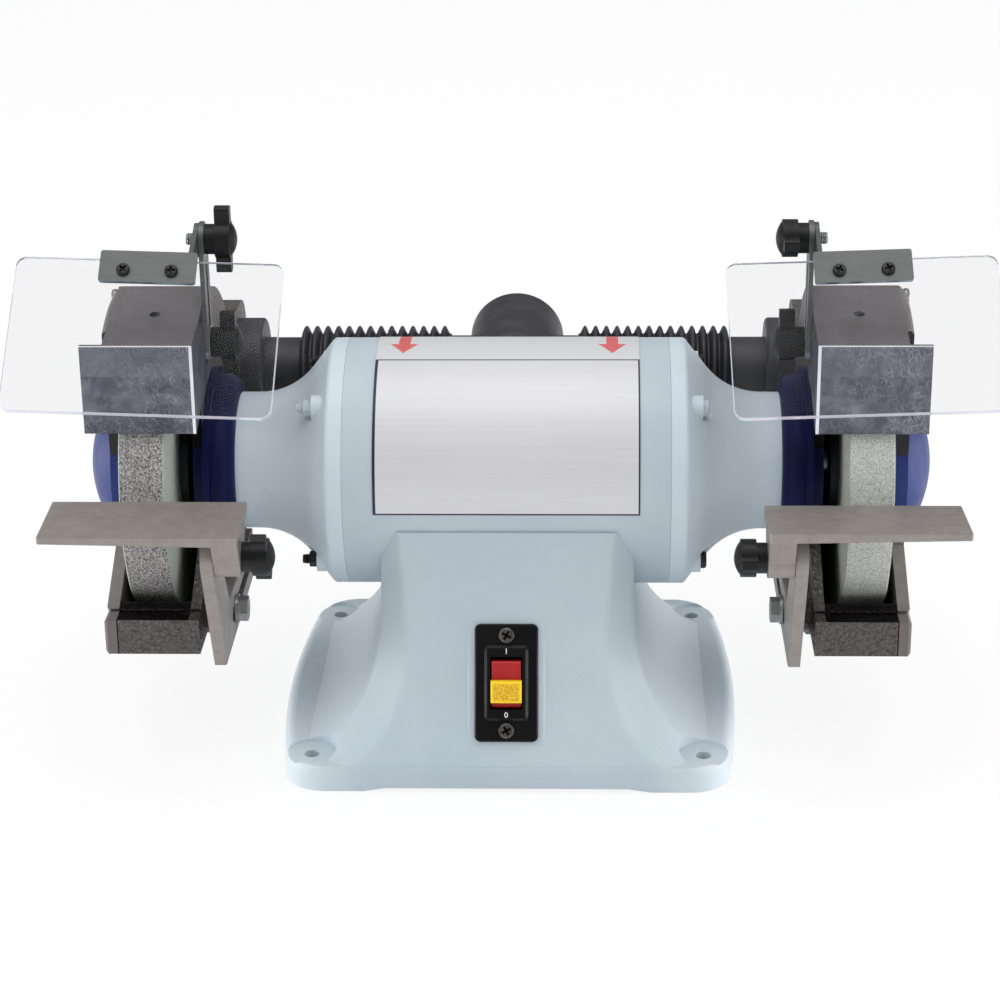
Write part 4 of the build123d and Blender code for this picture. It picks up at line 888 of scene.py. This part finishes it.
def makeMark(name, letter, up, size):
    clearSelection()
    bpy.ops.object.text_add(rotation=(math.radians(90 - switchFace["lean"]), 0, 0),
                            location=onSwitch(0, up, switchFace["proud"]))
    mark = bpy.context.object
    mark.data.body = letter
    mark.data.size = size
    mark.data.align_x = "CENTER"
    mark.data.align_y = "CENTER"
    mark.data.extrude = switchFace["thick"]
    bpy.ops.object.convert(target="MESH")
    mark = justAdded(name)
    settle(mark)
    recalculate(mark)
    finishPiece(mark, "root", markWhite)


markWhite = mouldedPlastic("markWhite", rgb(222, 222, 224), rgb(240, 240, 242), (0.4, 0.5), 900)
for name, (letter, up, size) in switchMarks.items():
    makeMark(name, letter, up, size)
print("switch marks done")


# floor, light and camera

view = dict(distance=1.550, height=21.0, aside=0.045, lens=94.86, sensor=36.0, roll=0.58, axisAt=(510, 460),
            picture=1000)
paperFloor = dict(size=12, drop=0.0005, colour=(0.92, 0.92, 0.93, 1), glow=0.86)
surround = dict(soft=((0.30, 0.49), (0.62, 0.44), (0.95, 0.70)), sideGain=4.0, sideSharpness=4.0,
                mirrored=((0.35, 0.30), (0.55, 0.16), (0.75, 0.30), (0.95, 0.70)))
lamps = dict(
    topSoftbox=dict(place=(0.0, -0.2, 1.75), aim=(0, 0, 0.15), size=(1.8, 1.1), power=9.5),
    sidePanel=dict(place=(1.5, -0.7, 0.9), aim=(0, 0, 0.14), size=(0.8, 1.2), power=2.5),
    footStrip=dict(place=(0.95, 0.0, 0.10), aim=(0, 0, 0.05), size=(0.9, 0.18), power=2.6),
)


def makeStage():
    # paper that is nearly white to the eye and still takes the shadow
    clearSelection()
    bpy.ops.mesh.primitive_plane_add(size=paperFloor["size"], location=(0, 0, -paperFloor["drop"]))
    floor = justAdded("studioFloor")
    material = bpy.data.materials.new("studioFloor")
    material.use_nodes = True
    tree = material.node_tree
    tree.nodes.clear()
    output = tree.nodes.new("ShaderNodeOutputMaterial")
    paper = tree.nodes.new("ShaderNodeBsdfDiffuse")
    paper.inputs["Color"].default_value = paperFloor["colour"]
    glow = tree.nodes.new("ShaderNodeEmission")
    rays = tree.nodes.new("ShaderNodeLightPath")
    mix = tree.nodes.new("ShaderNodeMixShader")
    seen = math2(tree, "MAXIMUM", rays.outputs["Is Camera Ray"], rays.outputs["Is Transmission Ray"])
    plug(tree, math2(tree, "MULTIPLY", seen, paperFloor["glow"]), mix.inputs[0])
    tree.links.new(paper.outputs[0], mix.inputs[1])
    tree.links.new(glow.outputs[0], mix.inputs[2])
    tree.links.new(mix.outputs[0], output.inputs[0])
    floor.data.materials.append(material)


def makeWorld():
    # white where it is seen, and a graded room for the light and for the reflections
    world = bpy.data.worlds.new("studio")
    bpy.context.scene.world = world
    world.use_nodes = True
    tree = world.node_tree
    background = tree.nodes["Background"]
    rays = tree.nodes.new("ShaderNodeLightPath")
    seen = math2(tree, "MAXIMUM", rays.outputs["Is Camera Ray"], rays.outputs["Is Transmission Ray"])
    direction = tree.nodes.new("ShaderNodeTexCoord").outputs["Generated"]
    x, y, z = axes(tree, direction)
    height = math2(tree, "MULTIPLY_ADD", z, 0.5, 0.5)
    soft = ramp(tree, height, *surround["soft"])
    toSide = math2(tree, "POWER", math2(tree, "ABSOLUTE", x), surround["sideSharpness"])
    sideways = math2(tree, "MULTIPLY_ADD", toSide, surround["sideGain"], 1.0)
    soft = mixColour(tree, 1.0, soft, sideways, "MULTIPLY")
    mirrored = ramp(tree, height, *surround["mirrored"])
    sky = mixColour(tree, rays.outputs["Is Glossy Ray"], soft, mirrored)
    plug(tree, mixColour(tree, seen, sky, (1, 1, 1, 1)), background.inputs["Color"])
    background.inputs["Strength"].default_value = 1.0


def makeLamp(name, side=1):
    # side -1 stands the lamp on the left
    lamp = lamps[name]
    data = bpy.data.lights.new(name, "AREA")
    data.shape = "RECTANGLE"
    data.size, data.size_y = lamp["size"]
    data.energy = lamp["power"]
    stand = bpy.data.objects.new(name, data)
    bpy.context.scene.collection.objects.link(stand)
    x, y, z = lamp["place"]
    stand.location = (side * x, y, z)
    stand.rotation_euler = (Vector(lamp["aim"]) - stand.location).to_track_quat("-Z", "Y").to_euler()


def makeCamera():
    # the middle of the spindle falls on axisAt in the picture
    data = bpy.data.cameras.new("photoCamera")
    data.lens = view["lens"]
    data.sensor_width = view["sensor"]
    data.clip_end = 50.0
    camera = bpy.data.objects.new("photoCamera", data)
    bpy.context.scene.collection.objects.link(camera)
    bpy.context.scene.camera = camera
    height = math.radians(view["height"])
    target = Vector((0, 0, axisHeight))
    camera.location = target + Vector((view["aside"], -view["distance"] * math.cos(height),
                                       view["distance"] * math.sin(height)))
    focal = view["picture"] * view["lens"] / view["sensor"]
    across = math.atan((view["axisAt"][0] - view["picture"] / 2) / focal)
    up = math.atan((view["picture"] / 2 - view["axisAt"][1]) / focal)
    facing = (target - camera.location).to_track_quat("-Z", "Y").to_matrix()
    turn = Matrix.Rotation(across, 3, "Y") @ Matrix.Rotation(-up, 3, "X")
    roll = Matrix.Rotation(-math.radians(view["roll"]), 3, "Z")
    camera.rotation_mode = "QUATERNION"
    camera.rotation_quaternion = (facing @ turn @ roll).to_quaternion()


makeStage()
makeWorld()
makeLamp("topSoftbox")
for side in (-1, 1):
    makeLamp("sidePanel", side)
    makeLamp("footStrip", side)
makeCamera()
bpy.context.scene.view_settings.view_transform = "Standard"
print("stage, light and camera done")
